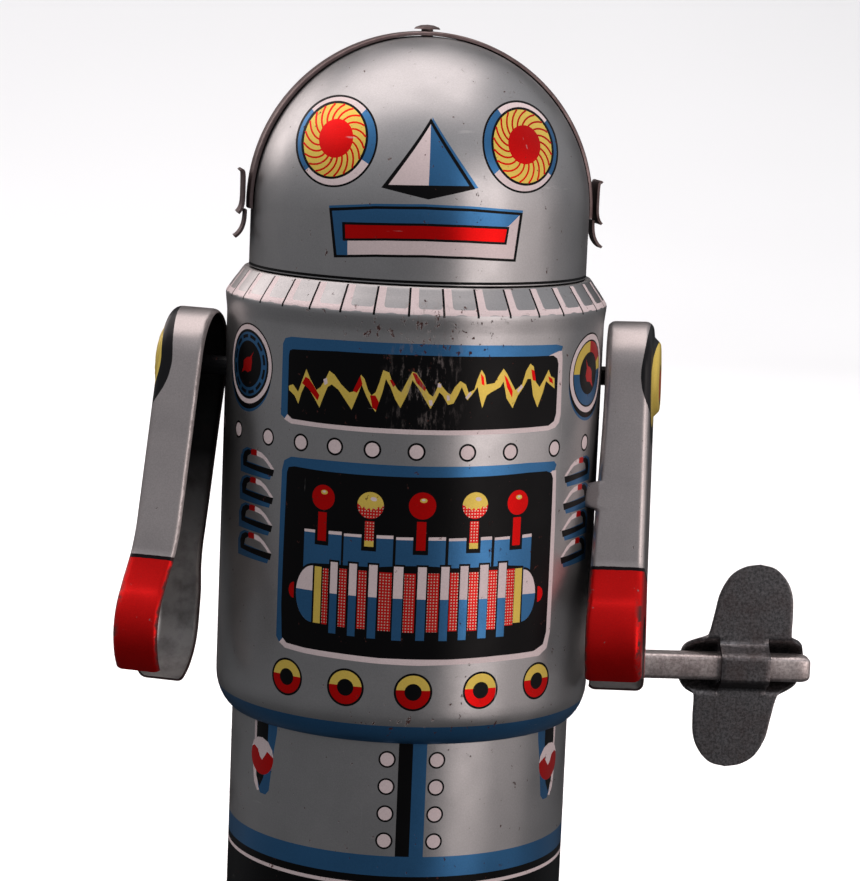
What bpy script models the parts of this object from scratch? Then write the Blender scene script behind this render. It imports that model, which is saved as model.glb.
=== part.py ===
"""A wind-up tin robot: pressed tin shells round a spring motor that shuffles two feet.

Blender 4.5, metres, +Z up. The robot faces -Y and its left hand is at +X. The origin is on
the body's upright axis, in the plane of the soles.
"""

import math

import bmesh
import bpy
from mathutils import Matrix, Vector

# Driving dimensions, in metres.
TIN = 0.0004
GAP = 0.0003
SMALL = 0.00001

SOLE_THICKNESS = 0.0008
FOOT_TOP = 0.0116
WAIST_BOTTOM = 0.0120
WAIST_TOP = 0.0520
WAIST_RADIUS = 0.0263
BODY_BOTTOM = 0.0474
BODY_RADIUS = 0.0290
COLLAR_BOTTOM = 0.1114
COLLAR_RADIUS = 0.0293
NECK = 0.1151
NECK_RADIUS = 0.0266
HEAD_RADIUS = 0.0259
HEAD_CENTRE = 0.1251
BAND_RADIUS = 0.0262
BAND_WIDTH = 0.0050
BAND_TURN = math.radians(6)

SHOULDER_HEIGHT = 0.1000
ARM_DEPTH = 0.0070
ARM_FOLD = 0.0013
SHOULDER_RADIUS = 0.0086
WRIST_HALF = 0.0070
WRIST_DROP = 0.0305
HAND_RADIUS = 0.0090
HAND_DROP = 0.0395
FINGER_HALF = 0.0052
CLAW_HALF = 0.0045
CLAW_DROP = 0.0413
STUD_RADIUS = 0.0015

# Each arm: side, distance of the web from the axis, toe, lean and forward swing in degrees.
ARM_PLACES = {"left": (1, 0.0373, -12.0, 1.8, 20.0), "right": (-1, 0.0374, 13.5, 1.6, 19.0)}

KEY_HEIGHT = 0.0545
KEY_ROD = 0.0040
KEY_TIP = 0.0630
KEY_WING_X = 0.0530
KEY_SHEET = 0.0008

PLATE_X = 0.0102
PLATE_THICKNESS = 0.0008
GEAR_X = 0.0040
GEAR_WIDTH = 0.0012
GREAT_TEETH, GREAT_MODULE = 36, 0.0007
SECOND_TEETH, SECOND_MODULE = 30, 0.0006
PINION_TEETH = 10
CRANK_HEIGHT = KEY_HEIGHT - GREAT_MODULE * (GREAT_TEETH + PINION_TEETH) / 2
THIRD_ANGLE = math.radians(225)
THIRD_REACH = SECOND_MODULE * (SECOND_TEETH + PINION_TEETH) / 2
THIRD_Y = THIRD_REACH * math.cos(THIRD_ANGLE)
THIRD_HEIGHT = CRANK_HEIGHT + THIRD_REACH * math.sin(THIRD_ANGLE)
ESCAPE_RADIUS = 0.0046
WINDING_RADIUS = 0.0016
CRANK_RADIUS = 0.0012
ESCAPE_ARBOR = 0.0008
PALLET_ARBOR = 0.0007
WINDING_BORE = WINDING_RADIUS + GAP
CRANK_BORE = CRANK_RADIUS + GAP
ESCAPE_BORE = ESCAPE_ARBOR + GAP
UPPER_PILLAR = (0.0104, 0.0661)
PALLET_DROP = 0.0082
CRANK_THROW = 0.0040
YOKE_X = 0.0134

FOOT_INSIDE = 0.0003
FOOT_OUTSIDE = 0.0235
FOOT_FRONT = -0.0330
FOOT_BACK = 0.0240

TOY = bpy.data.collections.new("wind_up_robot")
CUTTERS = bpy.data.collections.new("cutters")


def clear_scene():
    for obj in list(bpy.data.objects):
        bpy.data.objects.remove(obj)
    bpy.context.scene.collection.children.link(TOY)
    bpy.context.scene.collection.children.link(CUTTERS)
    CUTTERS.hide_render = True


def material(name, colour, roughness, metallic):
    made = bpy.data.materials.new(name)
    made.use_nodes = True
    shader = made.node_tree.nodes["Principled BSDF"]
    shader.inputs["Base Color"].default_value = (*colour, 1.0)
    shader.inputs["Roughness"].default_value = roughness
    shader.inputs["Metallic"].default_value = metallic
    made.diffuse_color = (*colour, 1.0)
    return made


def place(name, data, look, parent=None):
    obj = bpy.data.objects.new(name, data)
    TOY.objects.link(obj)
    obj.data.materials.append(LOOKS[look])
    obj.parent = parent
    return obj


def smooth(obj):
    obj.data.shade_smooth()
    obj.data.set_sharp_from_angle(angle=math.radians(35))
    return obj


def mesh_from(bm, name):
    mesh = bpy.data.meshes.new(name)
    bm.to_mesh(mesh)
    bm.free()
    return mesh


def turned(name, profile, look, steps=48):
    """A solid of revolution about Z: the profile runs down its outer side and back up inside."""
    bm = bmesh.new()
    points = [bm.verts.new((radius, 0, height)) for radius, height in profile]
    for first, second in zip(points, points[1:] + points[:1]):
        bm.edges.new((first, second))
    obj = place(name, mesh_from(bm, name), look)
    screw = obj.modifiers.new("turn", "SCREW")
    screw.steps = screw.render_steps = steps
    screw.use_merge_vertices = True
    screw.merge_threshold = SMALL
    return obj


def rod(name, radius, start, end, look, sides=16, y=0.0, z=0.0, parent=None):
    """A round bar along X from start to end, with its origin on its axis."""
    bm = bmesh.new()
    turn = Matrix.Rotation(math.pi / 2, 4, "Y")
    shift = Matrix.Translation(((start + end) / 2, 0, 0))
    bmesh.ops.create_cone(
        bm, cap_ends=True, segments=sides, radius1=radius, radius2=radius,
        depth=abs(end - start), matrix=shift @ turn,
    )
    obj = smooth(place(name, mesh_from(bm, name), look, parent))
    obj.location = (0, y, z)
    return obj


def flat(name, outlines, thickness, look, turn, spot=(0, 0, 0)):
    """A flat sheet cut to closed outlines: the first is its edge and the others are its holes."""
    curve = bpy.data.curves.new(name, "CURVE")
    curve.dimensions = "2D"
    curve.fill_mode = "BOTH"
    curve.extrude = thickness / 2
    for outline in outlines:
        spline = curve.splines.new("POLY")
        spline.points.add(len(outline) - 1)
        for point, (across, up) in zip(spline.points, outline):
            point.co = (across, up, 0, 1)
        spline.use_cyclic_u = True
    obj = place(name, curve, look)
    obj.rotation_euler = turn
    obj.location = spot
    return obj


FACING_X = (math.pi / 2, 0, math.pi / 2)
FACING_Y = (math.pi / 2, 0, 0)
FACING_Z = (0, 0, 0)
BAND_FACING = (math.pi / 2, 0, BAND_TURN)


def as_mesh(obj):
    """The curve object remade as a welded mesh object, so that it can be cut."""
    bpy.context.view_layer.update()
    graph = bpy.context.evaluated_depsgraph_get()
    mesh = bpy.data.meshes.new_from_object(obj.evaluated_get(graph))
    bm = bmesh.new()
    bm.from_mesh(mesh)
    bmesh.ops.remove_doubles(bm, verts=bm.verts, dist=SMALL)
    bm.to_mesh(mesh)
    bm.free()
    name, matrix = obj.name, obj.matrix_world.copy()
    bpy.data.objects.remove(obj)
    made = bpy.data.objects.new(name, mesh)
    TOY.objects.link(made)
    made.matrix_world = matrix
    return made


def arc(radius, start, end, count, across=0.0, up=0.0):
    """Points on an arc, both ends included, with angles in degrees."""
    points = []
    for step in range(count + 1):
        angle = math.radians(start + (end - start) * step / count)
        points.append((across + radius * math.cos(angle), up + radius * math.sin(angle)))
    return points


def circle(radius, count=20, across=0.0, up=0.0):
    return arc(radius, 0, 360 * (count - 1) / count, count - 1, across, up)


def cut_round(obj, name, radius, matrix, depth=0.012):
    """Drills obj with a round cutter whose axis is the matrix's X axis."""
    bm = bmesh.new()
    turn = Matrix.Rotation(math.pi / 2, 4, "Y")
    bmesh.ops.create_cone(
        bm, cap_ends=True, segments=16, radius1=radius, radius2=radius, depth=depth,
        matrix=matrix @ turn,
    )
    cutter = bpy.data.objects.new(name, mesh_from(bm, name))
    CUTTERS.objects.link(cutter)
    cutter.hide_render = True
    cutter.display_type = "WIRE"
    drill = obj.modifiers.new(name, "BOOLEAN")
    drill.object = cutter
    drill.solver = "EXACT"


# Shells


def head_shell():
    """A dome on a short drum, drilled at the crown for the band's rivet."""
    rivet_hole = math.degrees(math.asin(0.0012 / HEAD_RADIUS))
    outer = arc(HEAD_RADIUS, 90 - rivet_hole, 0, 11, up=HEAD_CENTRE)
    inner = arc(HEAD_RADIUS - TIN, 0, 90 - rivet_hole, 11, up=HEAD_CENTRE)
    rim = [(HEAD_RADIUS, NECK + GAP), (HEAD_RADIUS - TIN, NECK + GAP)]
    return turned("head_shell", outer + rim + inner, "lithographed_tin")


def arm_axis(side, distance, toe, lean):
    """The shoulder's frame: X runs out along the pivot, and its origin is on the arm's web."""
    spot = Matrix.Translation((side * distance, 0, SHOULDER_HEIGHT))
    turn = Matrix.Rotation(math.radians(side * toe), 4, "Z")
    return spot @ turn @ Matrix.Rotation(math.radians(-side * lean), 4, "Y")


def body_shell():
    """The main drum: a ribbed collar, a straight wall and a lower edge curled round the waist."""
    outer = [
        (NECK_RADIUS, NECK), (COLLAR_RADIUS, COLLAR_BOTTOM), (COLLAR_RADIUS, 0.1108),
        (BODY_RADIUS, 0.1102), (BODY_RADIUS, 0.0515), (0.0287, 0.0500), (0.0279, 0.0485),
        (0.0270, BODY_BOTTOM),
    ]
    inner = [
        (0.0266, BODY_BOTTOM), (0.0266, 0.0478), (0.0275, 0.0488), (0.0283, 0.0502),
        (0.0286, 0.0515), (0.0286, 0.1101), (0.0289, 0.1108), (0.0289, 0.1113),
        (0.0264, NECK - TIN), (0.0245, NECK - TIN), (0.0245, NECK),
    ]
    shell = turned("body_shell", outer + inner, "lithographed_tin", steps=56)
    for label, (side, distance, toe, lean, _) in ARM_PLACES.items():
        axis = arm_axis(side, distance, toe, lean) @ Matrix.Translation((-side * 0.0085, 0, 0))
        cut_round(shell, label + "_shoulder_hole", STUD_RADIUS + 2 * GAP, axis, depth=0.006)
    key_spot = Matrix.Translation((BODY_RADIUS, 0, KEY_HEIGHT))
    cut_round(shell, "key_hole", 0.0034, key_spot, depth=0.006)
    return shell


def leg_shell():
    inside = WAIST_RADIUS - TIN
    profile = [
        (WAIST_RADIUS, WAIST_TOP), (WAIST_RADIUS, WAIST_BOTTOM + TIN), (inside, WAIST_BOTTOM),
        (0.0245, WAIST_BOTTOM), (0.0245, WAIST_BOTTOM + TIN), (inside, WAIST_BOTTOM + TIN),
        (inside, WAIST_TOP),
    ]
    return turned("leg_shell", profile, "lithographed_tin")


def base_plate():
    slot_side = YOKE_X + PLATE_THICKNESS / 2
    half_wide, half_long = PLATE_THICKNESS / 2 + 0.0006, 0.0080
    slots = []
    for side in (-1, 1):
        left, right = side * slot_side - half_wide, side * slot_side + half_wide
        slots.append([(left, -half_long), (right, -half_long), (right, half_long), (left, half_long)])
    edge = circle(WAIST_RADIUS - TIN - GAP, 48)
    middle = WAIST_BOTTOM + 0.0008 + PLATE_THICKNESS / 2
    return flat("base_plate", [edge] + slots, PLATE_THICKNESS, "plain_tin", FACING_Z, (0, 0, middle))


# Head band


def head_band():
    """A strip over the crown, from ear to ear, with a hole for its rivet."""
    outline = arc(BAND_RADIUS + TIN, -2, 182, 32) + arc(BAND_RADIUS, 182, -2, 32)
    spot = (0, 0, HEAD_CENTRE)
    band = flat("head_band", [outline], BAND_WIDTH, "rusty_tin", BAND_FACING, spot)
    band = as_mesh(band)
    upright = Matrix.Rotation(-math.pi / 2, 4, "Y")
    crown = Matrix.Translation((0, 0, HEAD_CENTRE + BAND_RADIUS))
    cut_round(band, "band_hole", 0.0012, crown @ upright, depth=0.003)
    return band


def crown_rivet():
    top = HEAD_CENTRE + BAND_RADIUS + TIN + GAP
    low = HEAD_CENTRE + HEAD_RADIUS - 0.0012
    profile = [
        (0.0, top + 0.0007), (0.0010, top + 0.0006), (0.0018, top + 0.0003), (0.0020, top),
        (0.0009, top), (0.0009, low), (0.0, low),
    ]
    return turned("crown_rivet", profile, "rusty_tin", steps=16)


def ear_clip(label, side):
    """A hook bent from strip: it lies over the band's end and flares out at the bottom."""
    path = [(0.0286, -0.0055), (0.0276, -0.0034), (0.0273, -0.0010), (0.0274, 0.0040), (0.0278, 0.0047)]
    across = [Vector((side * x, z)) for x, z in path]
    thick = TIN * side
    back = [point - Vector((thick, 0)) for point in reversed(across)]
    outline = [tuple(point) for point in across + back]
    spot = (0, 0, HEAD_CENTRE)
    return flat(label + "_ear_clip", [outline], BAND_WIDTH - 0.0004, "rusty_tin", BAND_FACING, spot)


# Arms


def arm_outline():
    """The web's outer edge from the front fingertip over the shoulder to the rear fingertip."""
    tip = math.degrees(math.asin(FINGER_HALF / HAND_RADIUS))
    wrist = math.degrees(math.acos((WRIST_HALF + 0.0003) / HAND_RADIUS))
    front_hand = arc(HAND_RADIUS, 270 - tip, 180 - wrist, 7, up=-HAND_DROP)
    rear_hand = arc(HAND_RADIUS, wrist, tip - 90, 7, up=-HAND_DROP)
    shoulder = arc(SHOULDER_RADIUS, 184, -4, 14)
    return front_hand + [(-WRIST_HALF, -WRIST_DROP)] + shoulder + [(WRIST_HALF, -WRIST_DROP)] + rear_hand


def inset_points(points, amount):
    """The open outline moved to its right-hand side, which is the inside of the arm."""
    moved = []
    for index, point in enumerate(points):
        before = Vector(points[max(index - 1, 0)])
        after = Vector(points[min(index + 1, len(points) - 1)])
        along = (after - before).normalized()
        moved.append(Vector(point) + Vector((along.y, -along.x)) * amount)
    return moved


def arm_channel(label, side, parent):
    """A channel open towards the body, with a claw whose mouth is at the bottom."""
    outline = arm_outline()
    bm = bmesh.new()
    rows = []
    for step in range(3):
        angle = math.radians(45 * step)
        inset = ARM_FOLD * (1 - math.sin(angle))
        depth = ARM_FOLD * (1 - math.cos(angle))
        ring = inset_points(outline, inset)
        rows.append([bm.verts.new((-side * depth, p.x, p.y)) for p in ring])
    rows.append([bm.verts.new((-side * ARM_DEPTH, y, z)) for y, z in outline])
    for upper, lower in zip(rows, rows[1:]):
        for index in range(len(upper) - 1):
            bm.faces.new((upper[index], upper[index + 1], lower[index + 1], lower[index]))
    low = rows[0][0].co.z
    claw = [(CLAW_HALF, low)] + arc(CLAW_HALF, 0, 180, 8, up=-CLAW_DROP) + [(-CLAW_HALF, low)]
    notch = [bm.verts.new((0, y, z)) for y, z in claw[1:-1]]
    bm.faces.new(list(reversed(rows[0])) + list(reversed(notch)))
    bmesh.ops.recalc_face_normals(bm, faces=bm.faces)
    bm.faces.ensure_lookup_table()
    web = max(bm.faces, key=lambda face: face.calc_area())
    if web.normal.x * side < 0:
        bmesh.ops.reverse_faces(bm, faces=bm.faces)
    bmesh.ops.triangulate(bm, faces=[web])
    arm = place(label + "_arm", mesh_from(bm, label + "_arm"), "lithographed_tin", parent)
    wall = arm.modifiers.new("wall", "SOLIDIFY")
    wall.thickness = TIN
    wall.offset = -1
    return arm


def shoulder_stud(label, side, parent):
    start, end = -side * (TIN + GAP), -side * 0.0118
    return rod(label + "_shoulder_stud", STUD_RADIUS, start, end, "plain_tin", parent=parent)


def stud_washer(label, side, parent):
    """The ring that keeps the stud in the body wall."""
    outlines = [circle(0.0036, 16), circle(STUD_RADIUS + GAP, 16)]
    ring = flat(label + "_stud_washer", outlines, TIN, "plain_tin", FACING_X)
    ring.parent = parent
    ring.location = (-side * 0.0110, 0, 0)
    return ring


def arm(label):
    side, distance, toe, lean, swing = ARM_PLACES[label]
    pivot = bpy.data.objects.new(label + "_shoulder", None)
    TOY.objects.link(pivot)
    swung = Matrix.Rotation(math.radians(-swing), 4, "X")
    pivot.matrix_world = arm_axis(side, distance, toe, lean) @ swung
    arm_channel(label, side, pivot)
    shoulder_stud(label, side, pivot)
    stud_washer(label, side, pivot)


# Key


def key_rod():
    bm = bmesh.new()
    start = 0.0143
    size = (KEY_TIP - start, KEY_ROD, KEY_ROD)
    scale = Matrix.Diagonal((*size, 1))
    spot = Matrix.Translation(((start + KEY_TIP) / 2, 0, 0))
    bmesh.ops.create_cube(bm, size=1, matrix=spot @ scale)
    obj = place("key_rod", mesh_from(bm, "key_rod"), "key_steel")
    obj.location = (0, 0, KEY_HEIGHT)
    edge = obj.modifiers.new("soft_edges", "BEVEL")
    edge.width = 0.0007
    edge.segments = 2
    return obj


def key_collar():
    """The bush that joins the key's square rod to the winding arbor."""
    outlines = [circle(0.0040, 20), circle(KEY_ROD * 0.5 * math.sqrt(2) + GAP, 20)]
    return flat("key_collar", outlines, 0.0050, "brass", FACING_X, (0.0155, 0, KEY_HEIGHT))


def wing_edges(height):
    """Left and right edges of the upper lobe at a height over the rod."""
    shoulder, neck, tip = 0.0030, 0.0056, 0.0158
    if height <= shoulder:
        return -0.0096, 0.0096
    if height <= neck:
        share = math.sin(math.pi / 2 * (height - shoulder) / (neck - shoulder))
        return -0.0096 + 0.0038 * share, 0.0096 - 0.0025 * share
    share = (height - neck) / (tip - neck)
    round_off = math.sqrt(max(0.0, 1 - max(0.0, (share - 0.42) / 0.58) ** 2))
    middle = 0.0007 + 0.0016 * share
    half = (0.0064 - 0.0010 * share) * max(round_off, 0.12)
    return middle - half, middle + half


def key_wing():
    """A two-lobed stamping: it dips behind the rod, and its slit middle strap passes in front."""
    heights = [0, 0.0009, 0.0018, 0.0026, 0.0031, 0.0038, 0.0046, 0.0056, 0.0078, 0.0099]
    heights += [0.0120, 0.0138, 0.0149, 0.0156, 0.0158]
    heights = [-h for h in reversed(heights[1:])] + heights
    columns = [-1, -0.7, -0.41, -0.36, 0, 0.36, 0.41, 0.7, 1]
    reach = KEY_ROD / 2 + GAP
    bm = bmesh.new()
    rows = []
    for height in heights:
        left, right = wing_edges(abs(height))
        if height < 0:
            left, right = -right, -left
        swell = max(0.0, 1 - (height / 0.0046) ** 4)
        row = []
        for share in columns:
            front = abs(share) < 0.4
            depth = -swell * (reach + KEY_SHEET) if front else swell * reach
            across = left + (right - left) * (share + 1) / 2
            row.append(bm.verts.new((KEY_WING_X + across, depth, height)))
        rows.append(row)
    for lower, upper in zip(rows, rows[1:]):
        near_rod = max(abs(lower[0].co.z), abs(upper[0].co.z)) < 0.0047
        for index in range(len(columns) - 1):
            if near_rod and index in (2, 5):
                continue
            bm.faces.new((lower[index], lower[index + 1], upper[index + 1], upper[index]))
    obj = place("key_wing", mesh_from(bm, "key_wing"), "key_steel")
    obj.location = (0, 0, KEY_HEIGHT)
    sheet = obj.modifiers.new("sheet", "SOLIDIFY")
    sheet.thickness = KEY_SHEET
    sheet.offset = -1
    return obj


# Motor


def gear_outline(teeth, module, tip=0.85, root=1.05, phase=0.0):
    """Tapered teeth with running clearance at the pitch circle."""
    pitch = module * teeth / 2
    step = 2 * math.pi / teeth
    corners = [(pitch - root * module, 0.29), (pitch, 0.205), (pitch + tip * module, 0.09)]
    flank = [(radius, -share) for radius, share in corners]
    flank += [(radius, share) for radius, share in reversed(corners)]
    points = []
    for tooth in range(teeth):
        for radius, share in flank:
            angle = (tooth + share) * step + phase
            points.append((radius * math.cos(angle), radius * math.sin(angle)))
    return points


def wheel(name, outline, x, width, bore, y, z, look="brass", windows=()):
    holes = [circle(bore, 14)] + list(windows)
    return flat(name, [outline] + holes, width, look, FACING_X, (x, y, z))


def round_windows(count, radius, reach):
    holes = []
    for index in range(count):
        angle = 2 * math.pi * (index + 0.5) / count
        holes.append(circle(radius, 12, reach * math.cos(angle), reach * math.sin(angle)))
    return holes


def motor_plate(label, side):
    """An upright plate with round holes for the arbors."""
    half, low, top = 0.0155, 0.0139, 0.0585
    edge = [(-half, low), (half, low)] + arc(half, 0, 180, 12, up=top)
    holes = [
        circle(WINDING_RADIUS + GAP, 14, 0, KEY_HEIGHT),
        circle(CRANK_RADIUS + GAP, 14, 0, CRANK_HEIGHT),
        circle(ESCAPE_ARBOR + GAP, 12, THIRD_Y, THIRD_HEIGHT),
        circle(PALLET_ARBOR + GAP, 12, THIRD_Y, THIRD_HEIGHT - PALLET_DROP),
    ]
    x = side * (PLATE_X + PLATE_THICKNESS / 2)
    return flat(label + "_motor_plate", [edge] + holes, PLATE_THICKNESS, "plain_tin", FACING_X, (x, 0, 0))


def pillars():
    reach = PLATE_X - GAP
    places = {"front_lower": (-0.0110, 0.0165), "rear_lower": (0.0110, 0.0165)}
    places.update({"rear_upper": UPPER_PILLAR, "front_upper": (-UPPER_PILLAR[0], UPPER_PILLAR[1])})
    for label, (y, z) in places.items():
        rod(label + "_pillar", 0.0013, -reach, reach, "plain_tin", 10, y, z)


def mainspring():
    """A flat strip wound round the arbor, with its outer end by the rear upper pillar."""
    pillar_turn = math.atan2(UPPER_PILLAR[1] - KEY_HEIGHT, UPPER_PILLAR[0]) / (2 * math.pi)
    turns, first, last, half = 4 + pillar_turn, 0.0026, 0.0134, 0.00016
    count = 84
    inner, outer = [], []
    for step in range(count + 1):
        share = step / count
        angle = 2 * math.pi * turns * share
        radius = first + (last - first) * share
        outer.append(((radius + half) * math.cos(angle), (radius + half) * math.sin(angle)))
        inner.append(((radius - half) * math.cos(angle), (radius - half) * math.sin(angle)))
    outline = outer + list(reversed(inner))
    return flat("mainspring", [outline], 0.0100, "spring_steel", FACING_X, (-0.0030, 0, KEY_HEIGHT))


def ratchet_wheel():
    teeth, tip, root = 12, 0.0046, 0.0038
    points = []
    for tooth in range(teeth):
        for radius, share in ((tip, 0.0), (root, 0.92)):
            angle = 2 * math.pi * (tooth + share) / teeth
            points.append((radius * math.cos(angle), radius * math.sin(angle)))
    return wheel("ratchet_wheel", points, 0.0063, 0.0010, WINDING_BORE, 0, KEY_HEIGHT, "spring_steel")


def click():
    """The pawl on the great wheel. It stands just clear of the ratchet's tips."""
    hub = (0.0060, 0.0060)
    nose = (-0.0004, 0.0053)
    outline = arc(0.0013, -50, 130, 8, *hub) + [nose, (nose[0] + 0.0010, nose[1] - 0.0003)]
    return flat("click", [outline], 0.0010, "spring_steel", FACING_X, (0.0063, 0, KEY_HEIGHT))


def drive_train():
    rod("winding_arbor", WINDING_RADIUS, -0.0120, 0.0140, "spring_steel", z=KEY_HEIGHT)
    great = gear_outline(GREAT_TEETH, GREAT_MODULE)
    spokes = round_windows(5, 0.0022, 0.0083)
    gear_middle = GEAR_X + GEAR_WIDTH / 2
    wheel("great_wheel", great, gear_middle, GEAR_WIDTH, WINDING_BORE, 0, KEY_HEIGHT, windows=spokes)
    ratchet_wheel()
    click()
    rod("crank_arbor", CRANK_RADIUS, -0.0126, 0.0126, "spring_steel", z=CRANK_HEIGHT)
    # A tooth of the great wheel points straight down, so its partner shows a space there.
    pinion = gear_outline(PINION_TEETH, GREAT_MODULE, phase=math.pi / 2 + math.pi / PINION_TEETH)
    wheel("crank_pinion", pinion, gear_middle, 0.0020, CRANK_BORE, 0, CRANK_HEIGHT)
    second = gear_outline(SECOND_TEETH, SECOND_MODULE, phase=THIRD_ANGLE)
    windows = round_windows(4, 0.0018, 0.0054)
    wheel("second_wheel", second, 0.0082, 0.0010, CRANK_BORE, 0, CRANK_HEIGHT, windows=windows)
    rod("escape_arbor", ESCAPE_ARBOR, -0.0115, 0.0115, "spring_steel", 12, THIRD_Y, THIRD_HEIGHT)
    third_phase = THIRD_ANGLE + math.pi + math.pi / PINION_TEETH
    third = gear_outline(PINION_TEETH, SECOND_MODULE, phase=third_phase)
    wheel("escape_pinion", third, 0.0082, 0.0020, ESCAPE_BORE, THIRD_Y, THIRD_HEIGHT)


def escape_wheel():
    teeth, root = 12, 0.0034
    points = []
    for tooth in range(teeth):
        for radius, share in ((root, -0.32), (ESCAPE_RADIUS, 0.0), (root, 0.32)):
            angle = 2 * math.pi * (tooth + share) / teeth
            points.append((radius * math.cos(angle), radius * math.sin(angle)))
    return wheel("escape_wheel", points, -0.0015, 0.0010, ESCAPE_BORE, THIRD_Y, THIRD_HEIGHT)


def pallet():
    """A rocking anchor under the escape wheel, with a weight that slows the motor."""
    y, z = THIRD_Y, THIRD_HEIGHT - PALLET_DROP
    rod("pallet_arbor", PALLET_ARBOR, -0.0115, 0.0115, "spring_steel", 12, y, z)
    horn, waist = 0.0042, 0.0016
    outline = [
        (-horn, 0.0030), (-horn + 0.0009, 0.0034), (-waist, 0.0017), (waist, 0.0017),
        (horn - 0.0009, 0.0034), (horn, 0.0030), (0.0020, -0.0010), (0.0014, -0.0022),
        (-0.0014, -0.0022), (-0.0020, -0.0010),
    ]
    bore = circle(PALLET_ARBOR + GAP, 12)
    return flat("pallet", [outline, bore], 0.0014, "brass", FACING_X, (-0.0015, y, z))


def crank(label, side):
    """A disc on the crank arbor's end. The left pin is at the top when the right is at the bottom."""
    x = side * 0.0121
    outline = circle(0.0056, 24)
    bore = circle(CRANK_BORE, 14)
    pin_hole = circle(0.0008 + GAP, 10, 0, side * CRANK_THROW)
    flat(label + "_crank", [outline, bore, pin_hole], 0.0008, "spring_steel", FACING_X, (x, 0, CRANK_HEIGHT))
    start, end = side * 0.0114, side * (YOKE_X - GAP)
    height = CRANK_HEIGHT + side * CRANK_THROW
    rod(label + "_crank_pin", 0.0008, start, end, "spring_steel", 10, z=height)


def foot_yoke(label, side):
    """The upright blade of a foot, whose slot follows the crank pin."""
    half, low, top = 0.0030, FOOT_TOP + GAP, CRANK_HEIGHT + CRANK_THROW + 0.0030
    edge = [(-half, low), (half, low), (half, top), (-half, top)]
    slot_half = 0.0011
    reach = CRANK_THROW + slot_half
    slot = arc(slot_half, 0, 180, 6, up=CRANK_HEIGHT + CRANK_THROW)
    slot += arc(slot_half, 180, 360, 6, up=CRANK_HEIGHT - reach + slot_half)
    x = side * (YOKE_X + PLATE_THICKNESS / 2)
    return flat(label + "_foot_yoke", [edge, slot], PLATE_THICKNESS, "plain_tin", FACING_X, (x, 0, 0))


# Feet


def foot_plan(inset=0.0):
    """One foot seen from above: a straight inner side and rounded outer corners."""
    inside, outside = FOOT_INSIDE + inset, FOOT_OUTSIDE - inset
    front, back = FOOT_FRONT + inset, FOOT_BACK - inset
    toe, heel = 0.0085 - inset, 0.0100 - inset
    small = 0.0030 - inset
    plan = arc(heel, 0, 90, 6, outside - heel, back - heel)
    plan += arc(small, 90, 180, 3, inside + small, back - small)
    plan += arc(small, 180, 270, 3, inside + small, front + small)
    plan += arc(toe, 270, 360, 6, outside - toe, front + toe)
    return plan


def instep(y):
    """Height of the foot's top: level under the body, and falling towards the toe."""
    slope_start, toe_height = -0.0200, 0.0070
    share = max(0.0, (slope_start - y) / (slope_start - FOOT_FRONT))
    return FOOT_TOP - (FOOT_TOP - toe_height) * share


def foot_upper(label, side):
    """A pressed shoe, open underneath, with a rounded top edge."""
    bm = bmesh.new()
    floor = SOLE_THICKNESS + GAP
    rounding = 0.0016
    rows = []
    for inset, drop in ((0, None), (0, rounding), (rounding * 0.3, rounding * 0.3), (rounding, 0)):
        row = []
        for x, y in foot_plan(inset):
            height = floor if drop is None else instep(y) - drop
            row.append(bm.verts.new((side * x, y, height)))
        rows.append(row)
    count = len(rows[0])
    for lower, upper in zip(rows, rows[1:]):
        for index in range(count):
            after = (index + 1) % count
            bm.faces.new((lower[index], lower[after], upper[after], upper[index]))
    bm.faces.new(rows[-1])
    bmesh.ops.triangulate(bm, faces=[face for face in bm.faces if len(face.verts) > 4])
    bmesh.ops.recalc_face_normals(bm, faces=bm.faces)
    if max(bm.faces, key=lambda face: face.normal.z * face.calc_area()).normal.z < 0.5:
        bmesh.ops.reverse_faces(bm, faces=bm.faces)
    obj = place(label + "_foot", mesh_from(bm, label + "_foot"), "black_tin")
    wall = obj.modifiers.new("wall", "SOLIDIFY")
    wall.thickness = TIN
    wall.offset = -1
    return obj


def sole(label, side):
    outline = [(side * x, y) for x, y in foot_plan()]
    spot = (0, 0, SOLE_THICKNESS / 2)
    return flat(label + "_sole", [outline], SOLE_THICKNESS, "plain_tin", FACING_Z, spot)


clear_scene()
LOOKS = {
    "lithographed_tin": material("lithographed_tin", (0.55, 0.55, 0.56), 0.35, 0.7),
    "plain_tin": material("plain_tin", (0.60, 0.59, 0.57), 0.40, 0.9),
    "rusty_tin": material("rusty_tin", (0.13, 0.07, 0.06), 0.55, 0.5),
    "black_tin": material("black_tin", (0.03, 0.03, 0.035), 0.40, 0.3),
    "key_steel": material("key_steel", (0.22, 0.21, 0.20), 0.45, 0.9),
    "spring_steel": material("spring_steel", (0.35, 0.36, 0.38), 0.30, 1.0),
    "brass": material("brass", (0.72, 0.55, 0.25), 0.35, 1.0),
}
head_shell()
body_shell()
leg_shell()
base_plate()
head_band()
crown_rivet()
key_rod()
key_collar()
key_wing()
pillars()
mainspring()
drive_train()
escape_wheel()
pallet()
for word, direction in (("left", 1), ("right", -1)):
    ear_clip(word, direction)
    arm(word)
    motor_plate(word, direction)
    crank(word, direction)
    foot_yoke(word, direction)
    foot_upper(word, direction)
    sole(word, direction)
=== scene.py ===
"""Looks for the wind-up tin robot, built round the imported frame. Metres, +Z up, front towards -Y.

Printed art is laid out in millimetres: across is the arc round the drum from its front line, and
up is the height above the soles. Each printed drum is cut along the art's own edges. The outlines
were picked by eye on the photograph and turned into millimetres on the drum by a scratch script.
"""

import math

import bpy
import bmesh
import numpy as np
from mathutils import Matrix, Vector
from mathutils.geometry import delaunay_2d_cdt


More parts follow.
